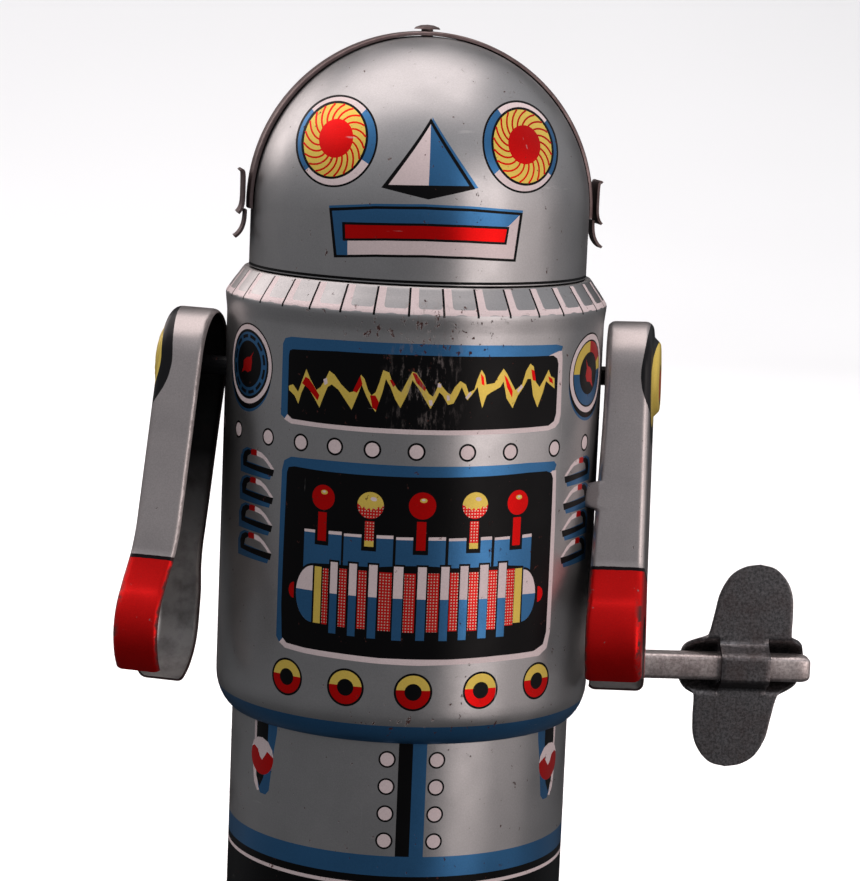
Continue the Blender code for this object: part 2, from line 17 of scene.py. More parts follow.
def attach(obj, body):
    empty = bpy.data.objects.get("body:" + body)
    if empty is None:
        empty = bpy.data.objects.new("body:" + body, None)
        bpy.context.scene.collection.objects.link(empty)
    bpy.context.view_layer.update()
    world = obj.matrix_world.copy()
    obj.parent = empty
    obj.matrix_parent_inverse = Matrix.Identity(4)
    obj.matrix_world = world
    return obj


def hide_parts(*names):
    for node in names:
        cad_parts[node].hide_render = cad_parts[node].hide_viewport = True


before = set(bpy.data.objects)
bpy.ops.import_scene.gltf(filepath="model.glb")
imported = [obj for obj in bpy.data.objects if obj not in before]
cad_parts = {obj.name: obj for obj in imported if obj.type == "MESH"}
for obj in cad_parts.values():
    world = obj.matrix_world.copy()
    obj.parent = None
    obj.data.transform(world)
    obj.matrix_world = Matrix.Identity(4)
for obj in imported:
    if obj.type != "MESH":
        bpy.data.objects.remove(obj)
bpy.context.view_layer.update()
MM = 0.001

# ---------------------------------------------------------------- materials


class Nodes:
    """Short forms for building one material's node tree."""

    def __init__(self, name):
        self.material = bpy.data.materials.new(name)
        self.material.use_nodes = True
        self.tree = self.material.node_tree
        self.shader = self.tree.nodes["Principled BSDF"]
        self.place = self.node("ShaderNodeTexCoord").outputs["Object"]

    def node(self, kind, **settings):
        made = self.tree.nodes.new(kind)
        for key, value in settings.items():
            setattr(made, key, value)
        return made

    def put(self, socket, value):
        if isinstance(value, bpy.types.NodeSocket):
            self.tree.links.new(value, socket)
        elif isinstance(value, (tuple, list)) and len(value) == 3 and socket.type == "RGBA":
            socket.default_value = (*value, 1)
        else:
            socket.default_value = value

    def math(self, operation, *values):
        made = self.node("ShaderNodeMath", operation=operation)
        for socket, value in zip(made.inputs, values):
            self.put(socket, value)
        return made.outputs[0]

    def times(self, first, *others):
        for other in others:
            first = self.math("MULTIPLY", first, other)
        return first

    def plus(self, first, second):
        return self.math("ADD", first, second)

    def minus(self, first, second):
        return self.math("SUBTRACT", first, second)

    def below(self, value, limit):
        return self.math("LESS_THAN", value, limit)

    def peak(self, value, middle, slope):
        """One at the middle value, less on both sides of it."""
        return self.minus(1.0, self.times(self.math("ABSOLUTE", self.minus(value, middle)), slope))

    def noise(self, size, detail=3.0, roughness=0.55, stretch=None, shift=(0, 0, 0)):
        """Noise with features of about that size in metres."""
        where = self.node("ShaderNodeMapping")
        self.put(where.inputs["Vector"], self.place)
        where.inputs["Scale"].default_value = stretch or (1, 1, 1)
        where.inputs["Location"].default_value = shift
        made = self.node("ShaderNodeTexNoise")
        self.put(made.inputs["Vector"], where.outputs[0])
        made.inputs["Scale"].default_value = 1 / size
        made.inputs["Detail"].default_value = detail
        made.inputs["Roughness"].default_value = roughness
        return made.outputs["Fac"]

    def span(self, value, low, high, to_low=0.0, to_high=1.0):
        made = self.node("ShaderNodeMapRange")
        for key, number in zip(("From Min", "From Max", "To Min", "To Max"), (low, high, to_low, to_high)):
            made.inputs[key].default_value = number
        self.put(made.inputs["Value"], value)
        return made.outputs["Result"]

    def mix(self, share, first, second):
        made = self.node("ShaderNodeMix", data_type="RGBA")
        self.put(made.inputs["Factor"], share)
        self.put(made.inputs["A"], first)
        self.put(made.inputs["B"], second)
        return made.outputs["Result"]

    def bump(self, height, distance, strength=1.0, normal=None):
        made = self.node("ShaderNodeBump")
        made.inputs["Strength"].default_value = strength
        made.inputs["Distance"].default_value = distance
        self.put(made.inputs["Height"], height)
        if normal is not None:
            self.put(made.inputs["Normal"], normal)
        return made.outputs["Normal"]

    def axis(self, index):
        split = self.node("ShaderNodeSeparateXYZ")
        self.put(split.inputs[0], self.place)
        return split.outputs[index]

    def set(self, **values):
        for key, value in values.items():
            self.put(self.shader.inputs[key.replace("_", " ")], value)
        return self.material


PORE = 0.00022
PITS_DEEP = 0.00004
GLOSS_OF_INK = 0.07
COLLAR_LOW, CURL_HIGH, CHEST_FRONT = 0.1085, 0.0510, -0.0292
SCRATCH, DUST, RUST = (0.50, 0.48, 0.47), (0.26, 0.22, 0.21), (0.070, 0.022, 0.018)


def mottled(n, colour, size, cloud_span, grain_span):
    """The colour, a little lighter and darker in clouds and in a fine grain."""
    cloud = n.span(n.noise(size, 4.0), 0.3, 0.7, *cloud_span)
    grain = n.span(n.noise(PORE, 2.0, 0.7), 0.3, 0.7, *grain_span)
    ink = n.node("ShaderNodeVectorMath", operation="SCALE")
    n.put(ink.inputs[0], colour)
    n.put(ink.inputs["Scale"], n.times(cloud, grain))
    return ink.outputs[0]


def relief(n, dent_size, dent_deep, skin_deep, worn):
    """Soft dents, the skin of the lacquer, and a step down where it is worn away."""
    dents = n.bump(n.noise(dent_size, 2.0), dent_deep, 0.5)
    skin = n.bump(n.noise(0.00030, 2.0, 0.6), skin_deep, 0.5, dents)
    return n.bump(n.minus(1.0, worn), PITS_DEEP, 0.6, skin)


def rust_share(n):
    """Where the print is worn through: small specks, thickest below the collar and at the curled edge."""
    height = n.axis(2)
    near = n.math("MAXIMUM", n.peak(height, COLLAR_LOW, 150), n.times(n.peak(height, CURL_HIGH, 300), 0.8))
    near = n.math("MAXIMUM", n.times(near, n.span(n.axis(1), CHEST_FRONT, -0.0250, 1.0, 0.0)), 0.0)
    specks = n.noise(0.0011, 6.0, 0.68, stretch=(1.0, 1.0, 0.75))
    rust = n.times(n.minus(specks, n.minus(0.660, n.times(near, 0.100))), 40.0)
    return n.math("MINIMUM", n.math("MAXIMUM", rust, 0.0), 0.9)


def halftone_dots(n, colour, pitch):
    """Pale dots in rows over the colour, for a pitch in millimetres on the body's drum."""
    turn = n.math("ARCTAN2", n.axis(0), n.times(n.axis(1), -1.0))
    across = n.math("FRACT", n.times(turn, 29.0 / pitch))
    upward = n.math("FRACT", n.times(n.axis(2), 1000.0 / pitch))
    return n.mix(n.times(n.below(across, 0.42), n.below(upward, 0.42)), colour, (0.56, 0.42, 0.34))


def scratches(n, colour):
    """Fine upright and level scratches, and a scuffed patch in the middle of the chest below the collar."""
    upright = n.noise(0.0016, 5.0, 0.62, stretch=(1.0, 1.0, 0.06), shift=(0.03, 0, 0))
    level = n.noise(0.0013, 5.0, 0.62, stretch=(0.10, 0.10, 1.0), shift=(0, 0, 0.07))
    lines = n.math("MAXIMUM", n.span(upright, 0.700, 0.735), n.span(level, 0.715, 0.75))
    scratched = n.mix(n.times(lines, 0.32), colour, SCRATCH)
    patch = n.times(n.span(n.math("ABSOLUTE", n.axis(0)), 0.0010, 0.0065, 1.0, 0.0),
                    n.span(n.axis(2), 0.0900, 0.1020), n.span(n.axis(1), -0.0285, -0.0270, 1.0, 0.0))
    dust = n.span(n.noise(0.0007, 5.0, 0.72, stretch=(1.0, 1.0, 0.30)), 0.53, 0.66)
    return n.mix(n.times(patch, dust, 0.55), scratched, DUST)


def printed(name, colour, metallic=0.0, roughness=0.34, dots=0.0):
    """Printing ink or bare lacquer on tin: faint mottling, fine scratches, specks of rust, soft dents."""
    n = Nodes(name)
    base = halftone_dots(n, colour, dots) if dots else colour
    ink = scratches(n, mottled(n, base, 0.014, (0.93, 1.05), (0.93, 1.06)))
    rust = rust_share(n)
    rough = n.span(n.noise(0.006, 4.0), 0.3, 0.7, roughness - 0.05, roughness + 0.06)
    surface = relief(n, 0.016, 0.00016, 0.000012, rust)
    n.set(Base_Color=n.mix(rust, ink, RUST), Metallic=metallic, Normal=surface)
    return n.set(Roughness=n.plus(rough, n.times(rust, 0.4)), Specular_IOR_Level=GLOSS_OF_INK)


def bare_metal(name, colour, metallic=1.0, roughness=0.38, stain=(0.05, 0.03, 0.025), stained=0.5,
               grain=0.0009, speckle=0.12):
    """Unprinted metal: a speckled surface with stains and small pits."""
    n = Nodes(name)
    cloud = n.noise(0.006, 5.0, 0.62)
    dots = n.span(n.noise(0.00045, 3.0, 0.7), 0.40, 0.60)
    colour = n.mix(dots, tuple(c * (1 - speckle) for c in colour), tuple(c * (1 + speckle) for c in colour))
    spots = n.noise(grain, 5.0, 0.65)
    dark = n.times(n.span(cloud, 0.42, 0.72), stained)
    fleck = n.times(n.span(spots, 0.60, 0.72), stained)
    share = n.math("MINIMUM", n.plus(dark, fleck), 1.0)
    n.set(Base_Color=n.mix(share, colour, stain), Metallic=metallic)
    n.set(Roughness=n.plus(n.span(spots, 0.3, 0.7, roughness - 0.07, roughness + 0.09), n.times(share, 0.18)))
    first = n.bump(n.noise(0.007, 3.0), 0.00016, 0.4)
    return n.set(Normal=n.bump(spots, 0.00003, 0.6, first))


SILVER = (0.30, 0.295, 0.297)
INKS = {
    "tin": printed("silver_lacquer", SILVER, metallic=0.92, roughness=0.36),
    "white": printed("white_ink", (0.60, 0.50, 0.50), metallic=0.15),
    "blue": printed("blue_ink", (0.034, 0.120, 0.255), metallic=0.8),
    "red": printed("red_ink", (0.50, 0.004, 0.004), metallic=0.75),
    "yellow": printed("yellow_ink", (0.60, 0.44, 0.085), metallic=0.3),
    "black": printed("black_ink", (0.0022, 0.0021, 0.0024)),
    "halftone": printed("halftone_ink", (0.50, 0.012, 0.010), metallic=0.5, dots=0.44),
}
INK_NAMES = list(INKS)
RUSTY = bare_metal("oxidised_tin", (0.085, 0.060, 0.058), metallic=0.7, roughness=0.42,
                   stain=(0.030, 0.012, 0.010), stained=0.7)
PLAIN_TIN = bare_metal("plain_tin", (0.36, 0.35, 0.34), roughness=0.40, stained=0.45)
INSIDE_TIN = bare_metal("inside_tin", (0.30, 0.29, 0.285), roughness=0.46, stained=0.5)
KEY_STEEL = bare_metal("key_steel", (0.122, 0.119, 0.123), roughness=0.34,
                       stain=(0.055, 0.036, 0.033), stained=0.6, grain=0.0006, speckle=0.38)
ROD_STEEL = bare_metal("rod_steel", (0.43, 0.385, 0.375), roughness=0.42,
                       stain=(0.070, 0.042, 0.040), stained=0.6, grain=0.0005, speckle=0.22)
BAND_TIN = bare_metal("band_tin", (0.135, 0.098, 0.096), metallic=0.8, roughness=0.40,
                      stain=(0.030, 0.012, 0.010), stained=0.6)
SPRING_STEEL = bare_metal("spring_steel", (0.10, 0.11, 0.14), roughness=0.30, stained=0.3)
BRASS = bare_metal("brass", (0.50, 0.34, 0.13), roughness=0.32, stain=(0.12, 0.07, 0.03), stained=0.5)
BLACK_TIN = printed("black_lacquer", (0.010, 0.010, 0.011), metallic=0.0, roughness=0.30)

# ---------------------------------------------------------------- flat shapes


def ring_points(across, up, wide, high=None, steps=40, start=0.0, stop=360.0, tilt=0.0):
    high = wide if high is None else high
    whole = abs(stop - start) >= 360
    angles = np.radians(np.linspace(start, stop, steps, endpoint=not whole))
    lean = math.radians(tilt)
    x, y = wide * np.cos(angles), high * np.sin(angles)
    return [(across + a * math.cos(lean) - b * math.sin(lean), up + a * math.sin(lean) + b * math.cos(lean))
            for a, b in zip(x, y)]


def box_points(left, low, right, top, round_by=0.0, steps=5):
    if not round_by:
        return [(left, low), (right, low), (right, top), (left, top)]
    points = []
    corners = ((right, top, -1, -1, 0), (left, top, 1, -1, 90), (left, low, 1, 1, 180),
               (right, low, -1, 1, 270))
    for x, y, inx, iny, first in corners:
        points += ring_points(x + inx * round_by, y + iny * round_by, round_by, steps=steps,
                              start=first, stop=first + 90)
    return points


def stroke(points, width):
    """A band of that width along an open line."""
    line = [Vector(p) for p in points]
    left, right = [], []
    for index, point in enumerate(line):
        along = (line[min(index + 1, len(line) - 1)] - line[max(index - 1, 0)]).normalized()
        aside = Vector((-along.y, along.x)) * width / 2
        left.append(tuple(point + aside))
        right.append(tuple(point - aside))
    return left + right[::-1]


class Art(list):
    """Shapes laid on each other in the order they are added, each as its ink and its outline."""

    def add(self, ink, points, across=0.0, up=0.0, hand=1):
        self.append((ink, [(across + hand * x, up + y) for x, y in points]))


def rivet(art, across, up, radius):
    art.add("black", ring_points(across, up, radius, steps=28))
    art.add("white", ring_points(across, up, 1.02, steps=28))


# ---------------------------------------------------------------- printed drums


def inside_of(points, shape):
    """Which of the points lie inside the closed shape."""
    x, y = points[:, 0], points[:, 1]
    found = np.zeros(len(points), bool)
    edge = np.asarray(shape, float)
    (left, low), (right, top) = edge.min(axis=0), edge.max(axis=0)
    near = (x >= left) & (x <= right) & (y >= low) & (y <= top)
    px, py = x[near], y[near]
    odd = np.zeros(len(px), bool)
    for (ax, ay), (bx, by) in zip(edge, np.roll(edge, -1, axis=0)):
        if ay == by:
            continue
        crosses = (ay > py) != (by > py)
        odd ^= crosses & (px < (bx - ax) * (py - ay) / (by - ay) + ax)
    found[near] = odd
    return found


def printed_drum(name, body, node, outer, inner, radius, art, columns=144, ground="tin"):
    """A turned shell whose outside is divided along the art. outer runs up, inner runs down, as (r, z)."""
    half = math.pi * radius
    levels = [z for _, z in outer]
    low, high = levels[0], levels[-1]
    flat, edges = [], []

    def line(a, b):
        edges.append((len(flat), len(flat) + 1))
        flat.extend((Vector(a), Vector(b)))

    steps = np.linspace(-half, half, columns + 1)
    for across in steps:
        line((across, low), (across, high))
    for level in levels:
        line((-half, level), (half, level))
    floor, ceiling = levels[1] + 0.001, levels[-2] - 0.001
    shapes = []
    for ink, points in art:
        points = [(min(max(x, -half + 0.01), half - 0.01), min(max(y, floor), ceiling)) for x, y in points]
        shapes.append((ink, points))
        first = len(flat)
        flat.extend(Vector(p) for p in points)
        edges.extend((first + i, first + (i + 1) % len(points)) for i in range(len(points)))
    verts, _, faces, _, _, _ = delaunay_2d_cdt(flat, edges, [], 0, 1e-5)
    spots = np.array([tuple(v) for v in verts])
    faces = [f for f in faces if len(f) == 3]
    corners = np.array(faces)
    a, b, c = spots[corners[:, 0]], spots[corners[:, 1]], spots[corners[:, 2]]
    size = (b[:, 0] - a[:, 0]) * (c[:, 1] - a[:, 1]) - (b[:, 1] - a[:, 1]) * (c[:, 0] - a[:, 0])
    keep = np.abs(size) > 1e-9
    corners, size, middle = corners[keep], size[keep], ((a + b + c) / 3)[keep]
    inks = np.full(len(corners), INK_NAMES.index(ground))
    for ink, points in shapes:
        inks[inside_of(middle, points)] = INK_NAMES.index(ink)
    corners[size < 0] = corners[size < 0][:, ::-1]

    profile_r = np.interp(spots[:, 1], levels, [r for r, _ in outer])
    angle = spots[:, 0] / radius
    places = np.column_stack((profile_r * np.sin(angle), -profile_r * np.cos(angle), spots[:, 1])) * MM
    normals = profile_normals(outer)
    nr = np.interp(spots[:, 1], levels, [n[0] for n in normals])
    nz = np.interp(spots[:, 1], levels, [n[1] for n in normals])
    bend = np.column_stack((nr * np.sin(angle), -nr * np.cos(angle), nz))

    # The two edges of the sheet meet at the back.
    left = {round(y, 4): i for i, (x, y) in enumerate(spots) if x < -half + 1e-4}
    swap = np.arange(len(spots))
    for i, (x, y) in enumerate(spots):
        if x > half - 1e-4:
            swap[i] = left.get(round(y, 4), i)
    corners = swap[corners]

    all_places, all_normals = [tuple(p) for p in places], [tuple(v) for v in bend]
    polygons, materials = [tuple(int(i) for i in f) for f in corners], list(inks)

    def rim(level):
        found = [i for i in range(len(spots))
                 if abs(spots[i, 1] - level) < 1e-4 and spots[i, 0] < half - 1e-4]
        return sorted(found, key=lambda i: spots[i, 0])

    top, bottom = rim(high), rim(low)
    turns = [spots[i, 0] / radius for i in top]
    rows = [top]
    inner_normals = profile_normals(inner)
    for (r, z), (inr, inz) in zip(inner, inner_normals):
        row = []
        for turn in turns:
            row.append(len(all_places))
            all_places.append((r * MM * math.sin(turn), -r * MM * math.cos(turn), z * MM))
            all_normals.append((inr * math.sin(turn), -inr * math.cos(turn), inz))
        rows.append(row)
    if len(bottom) != len(top):
        raise ValueError(f"{name}: art crosses a rim")
    rows.append(bottom)
    bare = len(INK_NAMES)
    for upper, lower in zip(rows, rows[1:]):
        for i in range(len(upper)):
            j = (i + 1) % len(upper)
            polygons.append((upper[i], upper[j], lower[j], lower[i]))
            materials.append(bare)

    mesh = bpy.data.meshes.new(name)
    mesh.from_pydata(all_places, [], polygons)
    for ink in INK_NAMES:
        mesh.materials.append(INKS[ink])
    mesh.materials.append(INSIDE_TIN)
    mesh.polygons.foreach_set("material_index", materials)
    mesh.polygons.foreach_set("use_smooth", [True] * len(polygons))
    mesh.update()
    mesh.normals_split_custom_set_from_vertices(all_normals)
    return finished(name, mesh, body, [node])


def profile_normals(profile):
    """Unit normals (r, z) at the points of a profile, pointing to its right-hand side as it runs."""
    found = []
    for i in range(len(profile)):
        before, after = profile[max(i - 1, 0)], profile[min(i + 1, len(profile) - 1)]
        run, rise = after[0] - before[0], after[1] - before[1]
        size = math.hypot(run, rise) or 1.0
        found.append((rise / size, -run / size))
    return found


def finished(name, mesh, body, nodes):
    piece = bpy.data.objects.new(name, mesh)
    bpy.context.scene.collection.objects.link(piece)
    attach(piece, body)
    if nodes:
        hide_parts(*nodes)
    return piece


def join_rows(bm, rows, closed=False):
    """Faces between neighbouring rows of vertices."""
    for low, high in zip(rows, rows[1:]):
        for i in range(len(low) if closed else len(low) - 1):
            j = (i + 1) % len(low)
            bm.faces.new((low[i], low[j], high[j], high[i]))


def sheet(name, rows, body, nodes, materials, thickness):
    """An open surface through rows of points in metres, given a metal sheet's thickness behind it."""
    bm = bmesh.new()
    lines = [[bm.verts.new(point) for point in row] for row in rows]
    join_rows(bm, lines)
    return sheet_from(name, bm, body, nodes, materials, thickness)


def sheet_from(name, bm, body, nodes, materials, thickness):
    mesh = bpy.data.meshes.new(name)
    bm.to_mesh(mesh)
    bm.free()
    for material in materials:
        mesh.materials.append(material)
    mesh.polygons.foreach_set("use_smooth", [True] * len(mesh.polygons))
    piece = finished(name, mesh, body, nodes)
    wall = piece.modifiers.new("wall", "SOLIDIFY")
    wall.thickness = thickness
    wall.offset = -1
    wall.use_even_offset = True
    wall.material_offset = min(1, len(materials) - 1)
    wall.material_offset_rim = len(materials) - 1
    return piece


def crisp(piece, degrees=40):
    edges = piece.modifiers.new("crisp", "EDGE_SPLIT")
    edges.split_angle = math.radians(degrees)
    return piece


def smooth_step(value):
    value = min(max(value, 0.0), 1.0)
    return value * value * (3 - 2 * value)


# ---------------------------------------------------------------- head

HEAD_R, HEAD_Z = 25.9, 125.1
NECK_Z = 115.4


def on_head(points):
    """Points seen from the front, as arc and height on the head's sheet."""
    found = []
    for x, z in points:
        r = HEAD_R if z <= HEAD_Z else math.sqrt(max(HEAD_R ** 2 - (z - HEAD_Z) ** 2, 1.0))
        found.append((HEAD_R * math.asin(max(-0.999, min(0.999, x / r))), z))
    return found


def eye(art, centre, wide, high, tilt, blue_spans, iris, turn):
    """A ring eye: outline, ring with four segments, swirl of spokes round a red centre."""
    x, z = centre
    art.add("black", on_head(ring_points(x, z, wide, high, 72, tilt=tilt)))
    art.add("white", on_head(ring_points(x, z, wide - 0.30, high - 0.30, 72, tilt=tilt)))
    for start, stop in blue_spans:
        outer = ring_points(x, z, wide - 0.30, high - 0.30, 20, start - tilt, stop - tilt, tilt)
        inner = ring_points(x, z, wide - 2.0, high - 2.0, 20, start - tilt, stop - tilt, tilt)
        art.add("blue", on_head(outer + inner[::-1]))
    ix, iz, iw, ih, it = iris
    art.add("black", on_head(ring_points(ix, iz, iw + 0.36, ih + 0.36, 72, tilt=it)))
    art.add("yellow", on_head(ring_points(ix, iz, iw, ih, 64, tilt=it)))
    spokes = 20
    lean = math.radians(it)
    for k in range(spokes):
        start = 360 * k / spokes
        path = []
        for step in range(7):
            share = 0.46 + 0.54 * step / 6
            angle = math.radians(start + turn * 30 * (step / 6) ** 1.4)
            a, b = iw * share * math.cos(angle), ih * share * math.sin(angle)
            path.append((ix + a * math.cos(lean) - b * math.sin(lean),
                         iz + a * math.sin(lean) + b * math.cos(lean)))
        art.add("red", on_head(stroke(path, 0.27)))
    art.add("red", on_head(ring_points(ix - 0.2 * turn, iz + 0.25, iw * 0.56, ih * 0.53, 40, tilt=it)))


def head_art():
    art = Art()
    art.add("black", box_points(-90, 115.0, 90, 115.95))
    eye(art, (-13.60, 135.35), 5.75, 6.75, -22, ((134, 222), (-31, 46)),
        (-13.90, 135.50, 4.30, 5.35, -20), -1)
    eye(art, (13.42, 135.55), 5.85, 6.75, 22, ((126, 221), (-37, 40)),
        (13.70, 135.62, 4.45, 5.35, 20), -1)
    nose = [(-0.10, 139.30), (-7.05, 129.15), (-0.25, 127.75), (6.55, 129.45)]
    art.add("blue", on_head([(0.12, 139.42), (7.0, 129.6), (5.0, 129.2), (0.0, 138.0)]))
    art.add("black", on_head(nose))
    art.add("white", on_head([(-0.12, 138.45), (-6.05, 129.60), (-0.25, 129.75)]))
    art.add("blue", on_head([(-0.12, 138.45), (-0.25, 129.75), (5.65, 129.85)]))
    top = [(-14.40, 125.75), (-7.8, 126.45), (-0.8, 126.72), (6.2, 126.62), (13.85, 126.10)]
    low = [(13.06, 118.95), (6.2, 119.27), (-0.5, 119.36), (-7.5, 119.10), (-13.45, 118.60)]
    raised = [(x, z + 0.34) for x, z in top]
    art.add("blue", on_head(raised + top[::-1]))
    art.add("black", on_head(top + low))
    inside = [(-13.98, 125.35), (-7.7, 126.05), (-0.8, 126.30), (6.2, 126.22), (13.38, 125.75),
              (12.72, 119.35), (6.2, 119.66), (-0.5, 119.74), (-7.5, 119.48), (-13.08, 119.02)]
    art.add("white", on_head(inside))
    art.add("blue", on_head(inside[:5] + [(11.75, 124.15), (11.2, 124.0), (-11.6, 121.2), (-11.55, 119.10),
                                          (-13.08, 119.02)]))
    bar = [(-12.48, 123.85), (-6.3, 124.10), (-0.7, 124.28), (5.3, 124.24), (11.88, 124.05),
           (11.55, 121.45), (5.3, 121.68), (-0.7, 121.72), (-6.2, 121.55), (-12.30, 121.15)]
    art.add("black", on_head(bar))
    art.add("red", on_head([(-12.05, 123.50), (-6.3, 123.74), (-0.7, 123.92), (5.3, 123.88),
                            (11.52, 123.70), (11.22, 121.82), (5.3, 122.04), (-0.7, 122.08),
                            (-6.2, 121.90), (-11.92, 121.52)]))
    return art


def head():
    crown = math.degrees(math.asin(1.2 / HEAD_R))
    outer = [(HEAD_R, NECK_Z), (HEAD_R, NECK_Z + 0.15)]
    outer += [(HEAD_R, z) for z in (117.5, 120.0, 122.5)]
    for step in range(0, 33):
        angle = math.radians((90 - crown) * step / 32)
        outer.append((HEAD_R * math.cos(angle), HEAD_Z + HEAD_R * math.sin(angle)))
    thin = HEAD_R - 0.4
    inner = [(thin * math.sin(math.radians(a)), HEAD_Z + thin * math.cos(math.radians(a)))
             for a in (crown, 15, 30, 45, 60, 75, 90)]
    inner.append((thin, NECK_Z))
    return printed_drum("head_print", "frame", "head_shell", outer, inner, HEAD_R, head_art())


BAND_TURN = Matrix.Rotation(math.radians(6), 4, "Z")


def on_band(x, y, z):
    """A point of the band or an ear clip, given in millimetres before the band's turn on the head."""
    return BAND_TURN @ Vector((x * MM, y * MM, (HEAD_Z + z) * MM))


def head_band():
    """The strip over the crown: slightly crowned, with both edges turned in to the dome."""
    section = [(-2.72, 26.0), (-2.70, 26.34), (-2.5, 26.52), (-1.6, 26.60), (0, 26.63), (1.6, 26.60),
               (2.5, 26.52), (2.70, 26.34), (2.72, 26.0)]
    rows = []
    for step in range(121):
        angle = math.radians(-2 + 184 * step / 120)
        rows.append([on_band(r * math.cos(angle), y, r * math.sin(angle)) for y, r in section])
    crisp(sheet("band_strip", rows, "frame", ["head_band"], [BAND_TIN] * 3, 0.35 * MM), 60)


def ear_clip(label, side):
    """Two bent strips over the band's end: a short outer one, and a tongue that flares out below it."""
    outer = [(28.0, 4.75), (27.75, 4.95), (27.45, 4.9), (27.25, 4.6), (27.15, 4.0), (27.12, 2.6),
             (27.12, 0.6), (27.2, -0.4), (27.4, -1.1), (27.7, -1.6), (27.95, -1.85)]
    tongue = [(26.72, -1.2), (26.74, -2.2), (26.84, -3.1), (27.05, -3.9), (27.4, -4.6), (27.85, -5.15),
              (28.3, -5.5)]
    strips = (("_clip_outer", outer, 2.5, [label + "_ear_clip"]), ("_clip_tongue", tongue, 1.7, []))
    for name, path, half, nodes in strips:
        fine = resampled(path, 0.35)
        columns = [half * share for share in (-1, -0.92, -0.5, 0, 0.5, 0.92, 1)]
        rows = [[on_band(side * x, y * side, z) for y in columns] for x, z in fine]
        piece = sheet(label + name, rows, "frame", nodes, [BAND_TIN] * 3, 0.38 * MM)
        crisp(piece, 60)


def resampled(points, step):
    """A smooth line through the points, with a point every step."""
    knots = [Vector(p) for p in points]
    spans = [Vector(knots[0]) * 2 - knots[1]] + knots + [knots[-1] * 2 - knots[-2]]
    found = []
    for a, b, c, d in zip(spans, spans[1:], spans[2:], spans[3:]):
        count = max(2, round((c - b).length / step))
        for k in range(count):
            t = k / count
            found.append(((2 * b) + (c - a) * t + (2 * a - 5 * b + 4 * c - d) * t * t
                          + (3 * b - a - 3 * c + d) * t ** 3) / 2)
    found.append(knots[-1])
    return [tuple(p) for p in found]


# ---------------------------------------------------------------- body

BODY_R = 29.0
RIB_STEP = 10.0


def arc_of(degrees):
    return BODY_R * math.radians(degrees)


def collar_art(art):
    """Printed pleats round the collar: a black rib, white beside it and along the bottom."""
    for k in range(36):
        left, right = arc_of(5 + RIB_STEP * k - 180), arc_of(5 + RIB_STEP * (k + 1) - 180)
        right = min(right, math.pi * BODY_R)
        if right - left < 0.5:
            continue
        art.add("white", box_points(left, 111.35, right, 116))
        art.add("tin", box_points(left + 1.35, 112.15, right - 0.18, 117.5, 0.45))
        art.add("black", box_points(left - 0.17, 111.05, left + 0.17, 116))
        art.add("tin", ring_points((left + right) / 2, 109.35, 2.4, 2.15, 14, 25, 155))


# The jagged line on the upper screen: its upper edge, its lower edge on the way back, and its marks.
WAVE_TOP = [
    (-21.2, 99.5), (-20.4, 99.8), (-19.4, 98.8), (-18.8, 100.4), (-18.05, 102.3), (-17.3, 100.9),
    (-16.2, 99.4), (-15.5, 99.9), (-14.7, 101.2), (-14.15, 102.4), (-13.3, 101.9), (-12.2, 100.6),
    (-10.9, 99.5), (-10.25, 99.7), (-9.7, 101.2), (-9.2, 102.2), (-8.65, 101.65), (-8.1, 100.1),
    (-7.55, 99.3), (-6.95, 99.8), (-6.4, 101.4), (-5.95, 103.1), (-5.05, 102.8), (-4.65, 101.7),
    (-3.7, 100.35), (-3.2, 100.0), (-2.45, 101.6), (-1.7, 103.1), (-1.1, 102.9), (-0.25, 101.7),
    (0.8, 99.95), (1.4, 99.55), (1.85, 100.55), (2.25, 101.7), (2.75, 101.0), (3.5, 100.2), (4.0, 99.9),
    (4.55, 101.0), (5.35, 101.9), (6.2, 101.4), (6.65, 100.2), (7.5, 100.65), (7.95, 102.25),
    (8.5, 103.55), (9.05, 102.8), (9.35, 101.4), (10.65, 101.6), (11.25, 102.6), (12.0, 103.7),
    (12.6, 103.0), (13.35, 101.75), (14.15, 100.5), (15.3, 101.3), (15.95, 103.3), (16.65, 104.3),
    (17.3, 103.85), (17.8, 101.6), (18.6, 100.75), (19.45, 101.9), (20.3, 103.25), (20.85, 102.25),
    (21.65, 101.9),
]
WAVE_LOW = [
    (21.75, 100.4), (20.65, 101.05), (19.85, 101.6), (19.3, 99.9), (18.35, 97.75), (17.4, 99.6),
    (16.9, 102.05), (16.25, 102.05), (15.6, 100.9), (14.65, 99.7), (13.8, 97.85), (12.7, 99.35),
    (12.1, 101.8), (11.6, 101.0), (10.05, 100.2), (9.45, 99.8), (8.85, 97.95), (8.4, 99.4), (8.0, 101.05),
    (7.1, 99.8), (6.5, 99.1), (5.6, 101.05), (5.05, 99.8), (4.45, 98.6), (3.65, 98.4), (2.8, 99.8),
    (2.3, 100.2), (1.85, 99.15), (1.1, 97.75), (0.25, 99.1), (-0.6, 100.5), (-1.65, 101.85), (-2.2, 100.0),
    (-3.25, 97.7), (-4.05, 98.95), (-4.8, 100.7), (-5.5, 101.85), (-5.95, 99.8), (-6.85, 96.95),
    (-7.5, 97.75), (-8.35, 99.25), (-9.05, 100.8), (-9.6, 99.2), (-10.45, 97.0), (-11.25, 98.05),
    (-12.6, 99.75), (-13.7, 100.45), (-14.35, 100.0), (-15.05, 98.3), (-15.6, 96.85), (-16.35, 98.0),
    (-17.35, 99.3), (-18.1, 100.05), (-18.8, 98.75), (-19.3, 97.05), (-20.05, 98.2), (-21.15, 98.9),
]
